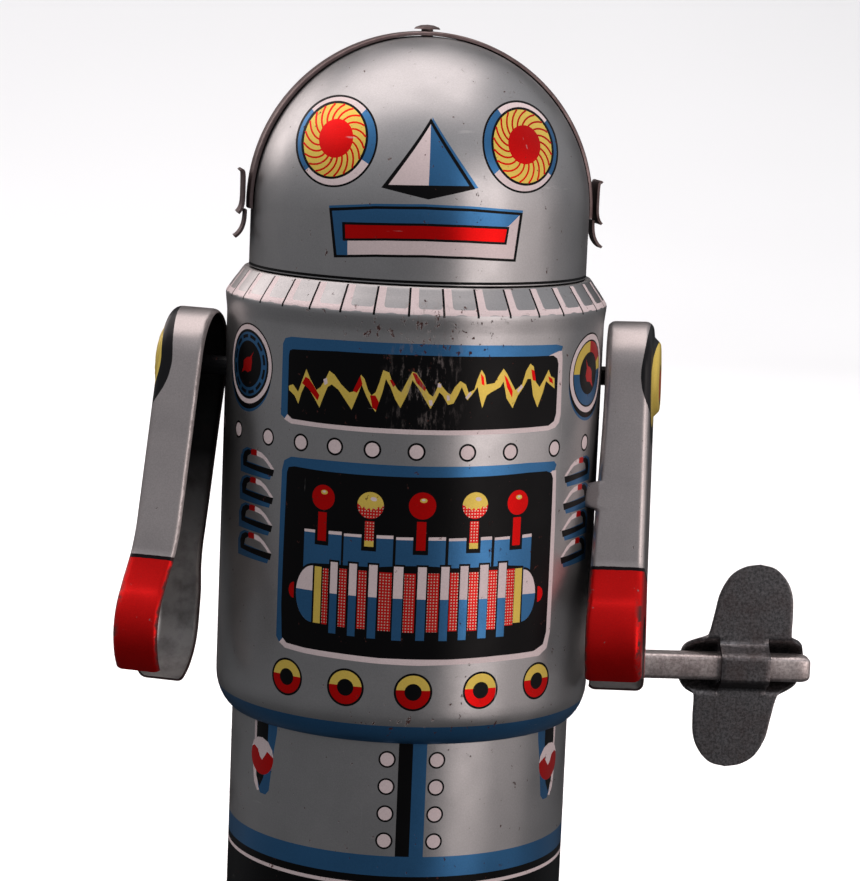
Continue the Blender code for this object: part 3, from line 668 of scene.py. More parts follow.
WAVE_RED = [
    [(-18.15, 101.15), (-18.75, 100.15), (-17.6, 99.5), (-15.95, 97.85), (-15.65, 98.65), (-16.65, 99.95),
     (-17.5, 100.9)],
    [(-9.3, 102.1), (-10.35, 99.75), (-9.75, 99.55), (-8.95, 100.85)],
    [(-7.75, 99.3), (-7.35, 97.55), (-6.75, 97.2), (-6.4, 98.4), (-6.95, 99.35)],
    [(-4.95, 101.7), (-4.4, 100.7), (-4.1, 101.05), (-4.65, 101.8)],
    [(-1.7, 102.9), (-1.05, 101.45), (0.2, 100.3), (0.35, 100.7), (-0.65, 102.1), (-1.2, 102.85)],
    [(8.4, 103.05), (8.6, 101.45), (9.05, 101.25), (8.9, 102.45)],
    [(12.15, 102.8), (12.7, 100.95), (13.65, 99.35), (13.7, 100.35), (12.75, 102.2)],
    [(16.85, 103.45), (17.2, 101.85), (17.85, 101.7), (17.45, 103.25)],
    [(20.25, 102.3), (20.6, 101.45), (21.4, 101.1), (21.2, 101.85)],
]
WAVE_WHITE = [
    [(-15.1, 101.05), (-14.85, 100.25), (-14.35, 100.55), (-14.55, 101.35)],
    [(2.05, 101.55), (2.0, 100.95), (2.55, 100.9), (2.55, 101.45)],
    [(0.8, 99.0), (1.0, 98.15), (1.4, 98.3), (1.3, 99.05)],
    [(3.4, 99.8), (3.5, 99.0), (3.9, 99.1), (3.8, 99.75)],
    [(6.2, 99.5), (6.45, 99.2), (7.15, 100.05), (6.9, 100.4)],
    [(14.45, 100.45), (14.65, 100.1), (15.5, 100.9), (15.15, 101.3)],
]


def upper_screen(art):
    outside = [(-22.6, 95.1), (-22.65, 105.6), (-22.2, 106.45), (-21.0, 106.75), (-13.0, 107.0),
               (-0.9, 107.15), (11.5, 107.1), (21.8, 106.9), (23.25, 106.6), (22.9, 105.6), (12.0, 104.0),
               (-20.0, 96.0), (-21.6, 94.5)]
    white = [(22.4, 105.9), (23.1, 105.9), (23.3, 104.6), (23.5, 96.4), (23.2, 95.2), (22.3, 94.5),
             (20.8, 94.2), (12.1, 94.1), (3.6, 93.95), (-8.4, 93.9), (-14.8, 93.95), (-20.6, 94.0),
             (-21.9, 94.5), (-21.2, 95.4), (0, 100)]
    art.add("blue", outside)
    art.add("white", white)
    art.add("black", [(-21.4, 103.9), (-21.25, 104.7), (-20.7, 104.95), (-13.0, 105.35), (-0.8, 105.5),
                      (11.6, 105.45), (21.2, 105.3), (22.1, 104.8), (22.4, 104.0), (22.4, 96.6),
                      (22.0, 95.5), (20.8, 94.9), (12.1, 94.8), (3.6, 94.65), (-8.4, 94.6), (-14.8, 94.6),
                      (-20.4, 94.7), (-21.3, 95.3)])
    art.add("yellow", WAVE_TOP + WAVE_LOW)
    art.extend(("red", shape) for shape in WAVE_RED)
    art.extend(("white", shape) for shape in WAVE_WHITE)


# Each lever's knob across and up, its radius, its ink, and the foot of its stem.
LEVERS = (
    (-14.4, 83.75, 1.85, "red", 77.3), (-7.05, 83.2, 1.98, "halftone", 77.1), (0.56, 83.5, 2.0, "red", 76.9),
    (8.47, 83.6, 1.98, "halftone", 77.2), (15.55, 83.8, 1.85, "red", 77.4),
)
BLOCKS = ((-17.4, -11.25), (-10.9, -3.5), (-3.1, 4.2), (4.65, 11.35), (11.8, 18.4))
# Each bar's kind, left, right, top and low: y is yellow, h halftone, w white over blue with black edges.
BARS = (
    ("y", -15.40, -14.26, 73.4, 64.95), ("h", -14.03, -13.14, 73.25, 64.9),
    ("w", -12.82, -11.69, 74.35, 63.7), ("h", -11.39, -10.24, 73.5, 64.8), ("w", -9.89, -8.72, 74.4, 63.6),
    ("h", -8.51, -7.24, 73.5, 64.8), ("w", -6.90, -5.64, 74.45, 63.5), ("h", -5.36, -3.47, 73.45, 64.75),
    ("w", -3.25, -1.85, 74.4, 63.4), ("h", -1.66, -0.02, 73.45, 64.65), ("w", 0.27, 1.56, 74.45, 63.5),
    ("h", 1.79, 3.45, 73.55, 64.8), ("w", 3.70, 4.93, 74.55, 63.5), ("h", 5.04, 6.37, 73.65, 64.95),
    ("w", 6.59, 7.82, 74.65, 63.6), ("h", 7.98, 9.58, 73.7, 64.95), ("w", 9.66, 11.00, 74.75, 63.75),
    ("h", 11.07, 12.49, 73.9, 65.0), ("w", 12.72, 14.05, 74.9, 63.8), ("h", 14.12, 15.50, 73.9, 65.4),
    ("y", 15.58, 16.86, 73.9, 65.7),
)
BAR_SPLIT = 69.65


def lower_screen(art):
    art.add("blue", [(-22.05, 61.9), (-22.1, 70.8), (-22.1, 79.0), (-22.0, 86.9), (-21.6, 88.4),
                     (-20.3, 89.1), (-14.6, 89.25), (-8.2, 89.3), (-0.1, 89.3), (8.0, 89.4), (17.2, 89.6),
                     (22.5, 89.45), (23.1, 88.9), (22.6, 87.9), (0, 75), (-20.6, 61.6), (-21.3, 61.0)])
    art.add("white", [(22.2, 88.05), (23.05, 88.05), (23.4, 80.2), (23.45, 71.8), (23.4, 63.5),
                      (22.8, 61.1), (21.1, 60.15), (13.9, 60.1), (5.1, 59.9), (1.0, 59.75), (-5.0, 59.8),
                      (-11.3, 60.0), (-16.7, 60.15), (-20.2, 60.4), (-21.4, 61.1), (-20.6, 62.0), (0, 75)])
    art.add("black", [(-21.0, 86.7), (-20.7, 87.5), (-19.6, 87.75), (-14.5, 87.6), (-8.1, 87.6),
                      (-2.1, 87.65), (3.9, 87.75), (10.2, 87.9), (17.3, 88.15), (20.9, 88.1), (22.0, 87.7),
                      (22.4, 86.9), (22.5, 80.3), (22.55, 71.9), (22.5, 63.6), (21.9, 61.8), (19.9, 61.0),
                      (12.9, 60.95), (5.1, 60.7), (-5.0, 60.65), (-11.3, 60.85), (-16.7, 60.95),
                      (-20.0, 61.2), (-20.95, 62.0), (-21.25, 66.8), (-21.2, 75.0), (-21.1, 81.2)])
    art.add("red", ring_points(-18.95, 69.35, 0.95, 1.2, 16, 90, 270))
    art.add("red", ring_points(20.15, 69.65, 1.1, 1.2, 16, -90, 90))
    for left, right in BLOCKS:
        art.add("white", [(left, 78.2), (right, 78.3), (right, 78.95), (left, 78.75)])
        art.add("blue", [(left, 72.6), (right, 72.6), (right, 78.45), (left, 78.35)])
    arch = ring_points(0.7, 65.2, 21, 9.4, 30, 25, 155)
    art.add("black", arch + [(-18.3, 69), (20, 69)])
    cap_left = ring_points(-15.6, 69.2, 2.95, 4.25, 24, 92, 268)
    art.add("black", ring_points(-15.6, 69.2, 3.25, 4.6, 24, 92, 268))
    art.add("white", cap_left)
    art.add("blue", ring_points(-15.6, 69.2, 2.95, 4.25, 14, 174, 268) + [(-15.65, 69.7), (-18.5, 69.7)])
    art.add("black", ring_points(17.05, 69.7, 2.95, 4.3, 24, -88, 88))
    art.add("white", ring_points(17.05, 69.7, 2.6, 3.95, 24, -88, 88))
    art.add("blue", ring_points(17.05, 69.7, 2.6, 3.95, 14, -88, 2) + [(17.1, 69.9)])
    art.add("black", [(-15.7, 64.5), (-12.8, 64.3), (14.2, 64.3), (17.0, 65.2), (17.1, 74.2), (14, 74.5),
                      (-12.9, 74.0), (-15.7, 73.8)])
    for kind, left, right, top, low in BARS:
        if kind == "y":
            art.add("yellow", box_points(left, low, right, top))
        elif kind == "h":
            art.add("halftone", box_points(left, low, right, top))
        else:
            art.add("black", box_points(left - 0.25, low + 1, right + 0.25, top + 0.3))
            art.add("blue", box_points(left, low, right, BAR_SPLIT))
            art.add("white", box_points(left, BAR_SPLIT, right, top))
    for x, z, r, ink, low in LEVERS:
        art.add("black", box_points(x - 0.05 - 1.12, low - 0.65, x - 0.05 + 1.12, z))
        art.add(ink, box_points(x - 0.72, low, x + 0.66, z - r - 0.35))
        if ink == "halftone":
            art.add("yellow", box_points(x - 0.72, low, x + 0.66, low + 0.85))
        art.add("black", ring_points(x, z, r + 0.25, steps=32))
        art.add(ink, ring_points(x, z, r, steps=36))
        if ink == "halftone":
            top = ring_points(x, z, r, steps=18, start=5, stop=175)
            ragged = []
            for k in range(1, 11):
                notch = 0.32 if k % 2 else -0.12
                ragged.append((x - r + 0.35 * k, z - 0.15 + notch - 0.5 * math.sin(math.pi * k / 11)))
            art.add("yellow", top + ragged)
            art.add("white", ring_points(x + 0.45, z + 0.95, 0.48, 0.30, 14, tilt=-10))
        else:
            art.add("yellow", ring_points(x + 0.15, z + 0.78, 0.55, 0.34, 14))
            art.add("white", ring_points(x + 0.12, z + 0.86, 0.26, 0.16, 10))


BUTTONS = ((-19.75, 56.1), (-9.85, 55.85), (0.28, 55.75), (10.6, 55.9), (20.85, 56.35))
DOTS = (-41.9, -33.6, -25.2, -18.6, -12.85, -7.1, -0.65, 6.9, 13.8, 22.4, 31.15, 40.0)


def vent(art, across, up, hand):
    """A printed louvre: a blue sill with a black shade, and an arch in three inks."""
    spot = {"across": across, "up": up, "hand": hand}
    art.add("blue", [(-8.8, -1.35), (-8.95, 0.9), (-8.3, 2.0), (-7.0, 2.55), (-5.5, 2.5), (-5.7, 1.7),
                     (-6.6, 1.5), (-7.4, 0.6), (-0.2, 0.0), (-0.9, -1.55)], **spot)
    art.add("black", [(-8.0, -0.35), (-8.2, 0.9), (-7.7, 1.8), (-6.6, 2.3), (-5.6, 2.2), (-5.9, 1.65),
                      (-6.6, 1.3), (-6.95, 0.3), (0.0, 0.05), (-0.3, -0.95)], **spot)
    art.add("tin", [(-6.6, 0.45), (-6.3, 1.05), (-5.6, 1.5), (-4.4, 1.6), (-3.0, 1.3), (-1.9, 0.8),
                    (-1.0, 0.22)], **spot)
    art.add("white", [(-4.3, 2.42), (-3.0, 2.25), (-1.7, 1.6), (-0.7, 0.75), (0.0, 0.12), (-0.75, 0.1),
                      (-1.5, 0.75), (-2.6, 1.4), (-4.3, 1.65)], **spot)
    art.add("red", [(-5.75, 2.4), (-5.0, 2.5), (-4.2, 2.45), (-4.2, 1.62), (-5.75, 1.58)], **spot)


def dial(art, across, up, kind):
    art.add("blue", ring_points(across - 0.1, up - 0.95, 6.25, 6.2, 48))
    art.add("black", ring_points(across - 0.05, up - 0.5, 6.3, 6.2, 48))
    art.add("black", ring_points(across, up, 6.4, 6.15, 56))
    art.add("white", ring_points(across, up, 6.15, 5.9, 56))
    if kind == "left":
        art.add("black", ring_points(across, up, 5.45, 5.2, 48))
        art.add("blue", ring_points(across, up, 5.0, 4.8, 48))
        for k in range(12):
            start = 30 * k + 4
            outer = ring_points(across, up, 4.65, 4.45, 8, start, start + 21)
            inner = ring_points(across, up, 4.15, 3.95, 8, start, start + 21)
            art.add("black", outer + inner[::-1])
        art.add("black", ring_points(across, up, 3.65, 3.5, 40))
        art.add("red", [(1.6, 2.05), (1.05, 1.3), (1.1, 0.4), (0.9, -0.9), (-0.1, -1.25), (-1.0, -1.05),
                        (-2.1, -1.5), (-1.55, -0.6), (-1.45, 0.4), (-0.4, 1.0), (0.5, 1.1)], across, up)
    else:
        art.add("black", ring_points(across, up, 5.3, 5.1, 48))
        spans = ((90, 178, "yellow"), (28, 90, "red"), (4, 28, "yellow"), (-182, 4, "blue"))
        for start, stop, ink in spans:
            outer = ring_points(across, up, 5.05, 4.85, 20, start, stop)
            inner = ring_points(across, up, 3.3, 3.15, 20, start, stop)
            art.add(ink, outer + inner[::-1])
        art.add("black", ring_points(across, up, 3.35, 3.2, 40))
        art.add("red", [(-1.35, 2.25), (-0.55, 1.1), (0.35, 0.9), (1.15, 0.1), (1.2, -0.9), (1.9, -2.3),
                        (0.5, -1.35), (-0.7, -1.2), (-1.3, -0.3), (-0.95, 0.8)], across, up)


def body_art():
    art = Art()
    collar_art(art)
    art.add("blue", box_points(-92, 46, 92, 50.45))
    upper_screen(art)
    dial(art, -31.05, 101.6, "left")
    dial(art, 31.55, 101.9, "right")
    for x in DOTS:
        rivet(art, x, 91.4, 1.33)
    lower_screen(art)
    for k in range(4):
        vent(art, -23.6, 86.6 - 4.2 * k, 1)
        vent(art, 25.2, 86.8 - 4.1 * k, -1)
    for x, z in BUTTONS:
        art.add("black", ring_points(x, z, 2.85, steps=40))
        art.add("red", ring_points(x, z, 2.52, steps=40))
        art.add("yellow", ring_points(x, z, 2.52, steps=24, start=6, stop=174))
        art.add("black", ring_points(x, z, 1.27, steps=28))
    for side in (-1, 1):
        for k in range(4):
            rivet(art, side * (58 + 8.5 * k), 91.4, 1.33)
    return art


def body():
    outer = [(26.75, 47.4), (27.05, 47.5), (27.5, 47.95), (27.95, 48.55), (28.35, 49.3), (28.65, 50.1),
             (28.88, 51.0), (28.98, 52.0), (29.0, 53.2), (29.0, 60.0), (29.0, 70.0), (29.0, 80.0),
             (29.0, 90.0), (29.0, 100.0), (29.0, 106.5), (29.0, 108.2), (29.06, 109.0), (29.16, 109.8),
             (29.25, 110.6), (29.28, 111.1), (29.2, 111.45), (28.95, 111.85), (28.6, 112.35),
             (28.2, 112.95), (27.8, 113.5), (27.35, 114.1), (26.95, 114.7), (26.7, 115.0), (26.6, 115.1)]
    inner = [(24.5, 115.1), (24.5, 114.7), (26.4, 114.7), (28.8, 111.3), (28.9, 110.8), (28.6, 109.5),
             (28.6, 51.5), (28.3, 50.2), (27.5, 48.8), (26.6, 47.8), (26.6, 47.4)]
    return printed_drum("body_print", "frame", "body_shell", outer, inner, BODY_R, body_art(), columns=160)


# ---------------------------------------------------------------- waist

WAIST_R = 26.3


def lever_slot(art, across, hand):
    spot = {"across": across, "hand": hand}
    art.add("white", [(-2.6, 50), (-2.45, 46), (-2.3, 43), (-2.6, 39.9), (-2.2, 37.6), (-1.3, 36.4),
                      (0.5, 37), (0.5, 50)], **spot)
    art.add("blue", [(-1.7, 50), (3.4, 50), (3.1, 46), (2.5, 43), (2.1, 40), (1.7, 37), (0.9, 36.2),
                     (-0.4, 36.2), (-1.0, 37), (-1.5, 39)], **spot)
    art.add("black", [(-1.75, 50), (1.2, 50), (1.1, 45), (0.9, 41), (0.2, 38.6), (-0.7, 37.1),
                      (-1.6, 38.6), (-1.9, 41), (-1.85, 45)], **spot)
    art.add("red", ring_points(-0.35, 41.9, 2.85, 2.8, 36), **spot)
    art.add("white", [(-3.1, 42.9), (-2.6, 44.0), (-1.5, 44.7), (-0.2, 44.85), (1.2, 44.4), (2.2, 43.3),
                      (2.5, 42.2), (1.0, 42.9), (0.5, 42.2), (-0.2, 41.4), (-0.8, 41.8), (-1.4, 42.9),
                      (-2.4, 43.3)], **spot)


def waist_art():
    art = Art()
    lever_slot(art, -24.85, 1)
    lever_slot(art, 26.3, -1)
    art.add("black", box_points(-1.3, 26, 0.8, 52))
    art.add("blue", box_points(0.8, 26, 2.9, 52))
    for x in (-3.0, 4.45):
        for k in range(-1, 4):
            rivet(art, x, 44.8 - 4.15 * k, 1.3)
    art.add("blue", box_points(-90, 26.9, 90, 30.0))
    art.add("black", box_points(-90, 12, 90, 26.9))
    art.add("white", box_points(-90, 25.2, 90, 25.75))
    art.add("black", box_points(-43.8, 12, -40.6, 52))
    return art


def waist():
    outer = [(25.9, 12.0), (26.15, 12.05), (26.3, 12.25)]
    outer += [(26.3, z) for z in (16.0, 20.0, 25.0, 30.0, 35.0, 40.0, 45.0, 50.0)]
    outer += [(26.3, 51.9), (26.25, 52.0)]
    inner = [(25.9, 52.0), (25.9, 12.45), (24.5, 12.45), (24.5, 12.0)]
    return printed_drum("waist_print", "frame", "leg_shell", outer, inner, WAIST_R, waist_art())


# ---------------------------------------------------------------- arms

ARM_FOLD, ARM_DEPTH, WEB_INSET, HEM = 1.3, 7.0, 2.0, 1.0
HAND_R, HAND_Z, FINGER_HALF, CLAW_R, CLAW_Z = 9.0, -39.5, 5.2, 4.5, -41.3
SHOULDER_R, SHOULDER_Z, WRIST_HALF, WRIST_Z = 8.6, 100.0, 7.0, -30.3
TAB_Z, TAB_HALF, TAB_REACH = -20.3, 2.1, 2.3
BOSS_R, BOSS_RISE, BOSS_SLOPE = 6.6, 1.1, 1.6
DISC_DROP, HUB_R, PIN_R = 1.2, 3.1, 2.5
LINE_Z, PALM_Z = -31.15, -31.7
DISC_BLACK = (0.004, 0.004, 0.005)
ARMS = {
    "left": {"side": 1, "distance": 37.3, "toe": -10.0, "lean": 1.8, "swing": 20.0, "widen": 1.5,
             "ring": 9.5, "disc": 6.6, "twist": 0.0, "rear": 0.0, "tab": TAB_REACH},
    "right": {"side": -1, "distance": 37.4, "toe": 13.5, "lean": 1.6, "swing": 19.0, "widen": 0.0,
              "ring": 10.5, "disc": 8.7, "twist": 6.0, "rear": 0.4, "tab": 0.0},
}


def parts_of(n, attribute):
    found = n.node("ShaderNodeAttribute", attribute_name=attribute)
    split = n.node("ShaderNodeSeparateXYZ")
    n.put(split.inputs[0], found.outputs["Vector"])
    return split.outputs


def arm_wear(n, hand, height, depth, margin, edge):
    """Where an arm's paint is worn to the dark tin: the hand's folds, the cut edge, and specks."""
    patch = n.span(n.noise(0.0036, 5.0, 0.65), 0.50, 0.56)
    fold = n.math("MAXIMUM", n.peak(depth, 0.40, 1.1), 0.0)
    fold = n.times(fold, patch, n.span(height, -33.0, -38.0))
    rim = n.span(n.plus(margin, n.times(edge, 4.0)), 0.12, 0.42, 1.0, 0.0)
    rim = n.times(rim, n.plus(n.times(hand, 0.5), 0.4))
    tab = n.times(n.span(margin, -1.6, -0.4, 1.0, 0.0), 0.35)
    specks = n.span(n.noise(0.0011, 6.0, 0.68), 0.685, 0.705)
    worn = n.math("MAXIMUM", fold, n.math("MAXIMUM", rim, tab))
    return n.math("MINIMUM", n.plus(worn, specks), 0.92)


def arm_material(label, ring, disc_radius):
    """Printing on an arm: silver, a red hand under a black line, a yellow disc in a black ring."""
    n = Nodes(label + "_arm_print")
    across, up, depth = parts_of(n, "laid_flat")
    height, margin, _ = parts_of(n, "on_arm")
    up = n.plus(up, DISC_DROP)
    from_middle = n.math("SQRT", n.plus(n.times(across, across), n.times(up, up)))
    edge = n.times(n.minus(n.noise(0.0013, 4.0), 0.5), 0.22)
    hand = n.below(n.plus(height, edge), PALM_Z)
    line = n.times(n.below(n.plus(height, edge), LINE_Z), n.minus(1.0, hand))
    disc = n.below(n.plus(from_middle, n.times(edge, 0.5)), ring)
    colour = n.mix(disc, (0.315, 0.287, 0.283), DISC_BLACK)
    colour = n.mix(n.below(from_middle, disc_radius), colour, (0.60, 0.45, 0.090))
    colour = n.mix(n.below(from_middle, HUB_R), colour, DISC_BLACK)
    colour = n.mix(n.below(from_middle, PIN_R), colour, (0.50, 0.004, 0.004))
    colour = n.mix(line, colour, (0.010, 0.008, 0.009))
    colour = n.mix(hand, colour, (0.47, 0.0035, 0.0035))
    colour = mottled(n, colour, 0.012, (0.90, 1.06), (0.90, 1.08))
    lines = n.span(n.noise(0.0015, 5.0, 0.62, stretch=(1.0, 1.0, 0.07)), 0.73, 0.755)
    colour = n.mix(n.times(lines, 0.3), colour, SCRATCH)
    chips = n.times(n.span(n.noise(0.0021, 5.0, 0.66, shift=(0.2, 0, 0)), 0.66, 0.68), hand)
    colour = n.mix(n.times(chips, 0.8), colour, (0.17, 0.15, 0.15))
    worn = arm_wear(n, hand, height, depth, margin, edge)
    metal = n.times(n.minus(1.0, worn), n.minus(0.92, n.times(hand, 0.17)), n.minus(1.0, n.times(disc, 0.7)))
    rough = n.plus(n.span(n.noise(0.006, 4.0), 0.3, 0.7, 0.29, 0.40), n.times(worn, 0.3))
    return n.set(Base_Color=n.mix(worn, colour, (0.030, 0.014, 0.013)), Metallic=metal, Roughness=rough,
                 Normal=relief(n, 0.012, 0.00022, 0.000014, worn), Specular_IOR_Level=0.2)


def arm_inside():
    """The unprinted inner side: grey at the hand, with painted shade making it near black towards the
    shoulder.
    """
    n = Nodes("arm_inside")
    height = parts_of(n, "on_arm")[0]
    stain = n.span(n.noise(0.004, 5.0, 0.62), 0.45, 0.70)
    spots = n.noise(0.0008, 5.0, 0.65)
    # Painted shade: near black from the shoulder down, turning grey towards the hand, with the metallic share
    # lowered along with it.
    colour = n.mix(n.span(height, -12.0, -29.0), (0.012, 0.011, 0.011), (0.40, 0.385, 0.378))
    colour = n.mix(n.times(stain, 0.5), colour, (0.030, 0.022, 0.020))
    n.set(Base_Color=colour, Metallic=n.span(height, -10.0, -24.0, 0.35, 0.9))
    return n.set(Roughness=n.span(spots, 0.3, 0.7, 0.40, 0.56), Normal=n.bump(spots, 0.00004, 0.6))


ARM_INSIDE = arm_inside()


def arm_outline():
    """The web's outer edge from the front fingertip over the shoulder to the rear fingertip, as (y, z)."""
    tip = math.degrees(math.asin(FINGER_HALF / HAND_R))
    hand = ring_points(0, HAND_Z, HAND_R, steps=26, start=270 - tip, stop=156)
    top_of_hand, wrist = Vector(hand[-1]), Vector((-WRIST_HALF, WRIST_Z))
    bend = Vector((-WRIST_HALF - 0.35, WRIST_Z - 2.6))
    curve = [tuple(top_of_hand.lerp(bend, t).lerp(bend.lerp(wrist, t), t)) for t in np.linspace(0, 1, 9)[1:]]
    shoulder = ring_points(0, 0, SHOULDER_R, steps=49, start=184, stop=-4)
    start = Vector(shoulder[0])
    straight = [tuple(wrist.lerp(start, t)) for t in np.linspace(0, 1, 91)[1:-1]]
    front = hand + curve + straight
    return front + shoulder + [(-y, z) for y, z in reversed(front)]


def claw_gap(height):
    """Half the width of the claw's mouth at a height."""
    if height > CLAW_Z:
        return math.sqrt(max(CLAW_R ** 2 - (height - CLAW_Z) ** 2, 0.0))
    return CLAW_R - 0.8 * (CLAW_Z - height) / 3.9


def boss_rise(point):
    """The round boss pressed outwards at the shoulder."""
    return BOSS_RISE * (1 - smooth_step((point.length - BOSS_R + BOSS_SLOPE) / BOSS_SLOPE))


def outward_of(outline):
    """The outline's unit normals, away from the web."""
    found = []
    for i in range(len(outline)):
        along = (outline[min(i + 1, len(outline) - 1)] - outline[max(i - 1, 0)]).normalized()
        found.append(Vector((-along.y, along.x)))
    return found


class Arm:
    """One arm's sheet: web, rolled fold, flange and hem, built from its outline in the arm's own frame."""

    def __init__(self, label):
        self.label, self.form = label, ARMS[label]
        side = self.form["side"]
        self.place = Matrix.Translation((side * self.form["distance"] * MM, 0, SHOULDER_Z * MM))
        self.place @= Matrix.Rotation(math.radians(side * self.form["toe"]), 4, "Z")
        self.place @= Matrix.Rotation(math.radians(-side * self.form["lean"]), 4, "Y")
        self.place @= Matrix.Rotation(math.radians(-self.form["swing"]), 4, "X")
        self.outside = self.place.to_3x3() @ Vector((side, 0, 0))
        self.outline = [Vector(p) for p in arm_outline()]
        self.edge = list(zip(self.outline, outward_of(self.outline)))
        self.bm = bmesh.new()
        self.flat = self.bm.verts.layers.float_vector.new("laid_flat")
        self.spot = self.bm.verts.layers.float_vector.new("on_arm")

    def vertex(self, point, depth, laid, margin=9.0):
        """A point of the sheet. The hand is drawn down a little and twisted on the wrist."""
        height = point.y - 0.08 * max(0.0, -point.y - 28)
        twist = math.tan(math.radians(self.form["twist"])) * smooth_step((-point.y - 26) / 10)
        inward = depth + point.x * twist
        spot = Vector((-self.form["side"] * inward, point.x, height)) * MM
        made = self.bm.verts.new(self.place @ spot)
        made[self.flat] = (laid.x, laid.y, depth)
        made[self.spot] = (height, margin, 0.0)
        return made

    def flange_depth(self, point):
        deep = ARM_DEPTH + self.form["widen"] * smooth_step(-point.y / 44)
        if point.x > 0:
            wrist = 1 - 0.7 * smooth_step((-point.y - 32) / 6)
            deep += self.form["rear"] * smooth_step(-point.y / 28) * wrist
        return deep

    def tab(self, point):
        reach = 1 - abs((point.y - TAB_Z) / TAB_HALF) ** 3
        return self.form["tab"] * math.sqrt(reach) if point.x < 0 and reach > 0 else 0.0

    def fold(self):
        """Rows from the web's edge round the fold."""
        rows = [[self.vertex(p - o * WEB_INSET, 0, p - o * WEB_INSET) for p, o in self.edge]]
        for step in range(7):
            angle = math.radians(15 * step)
            back, down = ARM_FOLD * (1 - math.sin(angle)), ARM_FOLD * (1 - math.cos(angle))
            laid = ARM_FOLD * (1 - angle)
            rows.append([self.vertex(p - o * back, down, p - o * laid) for p, o in self.edge])
        return rows

    def flange(self):
        """Rows down the flange, the last ones rolled in to a hem."""
        rows = []
        for share, short, inward in ((0.25, 0, 0), (0.5, 0, 0), (0.75, 0, 0), (1, HEM, 0), (1, 0.72, 0.04),
                                     (1, 0.45, 0.14), (1, 0.22, 0.30), (1, 0.0, 0.52)):
            row = []
            for p, o in self.edge:
                end = self.flange_depth(p) + self.tab(p)
                deep = ARM_FOLD + (end - HEM - ARM_FOLD) * share if share < 1 else end - short
                laid = p + o * (ARM_FOLD * (math.pi / 2 - 2) + deep)
                row.append(self.vertex(p - o * inward, deep, laid, self.flange_depth(p) - deep))
            rows.append(row)
        return rows

    def web(self, rim):
        """Rows across from the front fold to the rear one, parted at the claw's mouth."""
        middle = len(self.outline) // 2
        halves = {-1: [], 1: []}
        for i in range(middle):
            low = self.outline[i] - self.edge[i][1] * WEB_INSET
            gap = claw_gap(low.y)
            shared = None
            for way, start in ((-1, rim[i]), (1, rim[-1 - i])):
                line = [start]
                for share in np.linspace(0, 1, 15)[1:]:
                    if share == 1 and gap == 0 and shared:
                        line.append(shared)
                        continue
                    point = Vector((way * (abs(low.x) + (gap - abs(low.x)) * share), low.y))
                    line.append(self.vertex(point, -boss_rise(point), point))
                shared = line[-1]
                halves[way].append(line)
        for lines in halves.values():
            join_rows(self.bm, lines)
            for first, second in zip(lines[-1], lines[-1][1:]):
                self.bm.faces.new((first, second, rim[middle]))

    def build(self):
        rows = self.fold() + self.flange()
        join_rows(self.bm, rows)
        self.web(rows[0])
        bmesh.ops.recalc_face_normals(self.bm, faces=self.bm.faces)
        self.bm.normal_update()
        if sum(face.normal.dot(self.outside) * face.calc_area() for face in self.bm.faces) < 0:
            bmesh.ops.reverse_faces(self.bm, faces=self.bm.faces)
        looks = [arm_material(self.label, self.form["ring"], self.form["disc"]), ARM_INSIDE, RUSTY]
        crisp(sheet_from(self.label + "_arm_sheet", self.bm, self.label + "_arm", [self.label + "_arm"],
                         looks, 0.4 * MM))


# ---------------------------------------------------------------- key

KEY_X, KEY_Z, ROD_HALF, SHEET = 54.0, 54.5, 2.0, 0.8
STRAP_HALF, DIP = 3.85, 4.7
WING_LEFT = [(-9.8, 0), (-9.6, 1.5), (-8.9, 2.6), (-7.5, 3.4), (-6.2, 4.1), (-5.5, 5.3), (-4.8, 8.6),
             (-4.15, 11.6), (-2.6, 14.4), (-0.4, 15.85), (2.0, 16.3)]
WING_RIGHT = [(9.9, 0), (9.9, 1.5), (9.6, 2.6), (8.9, 3.5), (7.9, 4.2), (7.5, 5.2), (7.5, 8.6), (7.25, 11.6),
              (6.2, 14.0), (4.4, 15.7), (2.0, 16.3)]


def wing_edge(points, height):
    fine = resampled(points, 0.25)
    return float(np.interp(height, [z for _, z in fine], [x for x, _ in fine]))


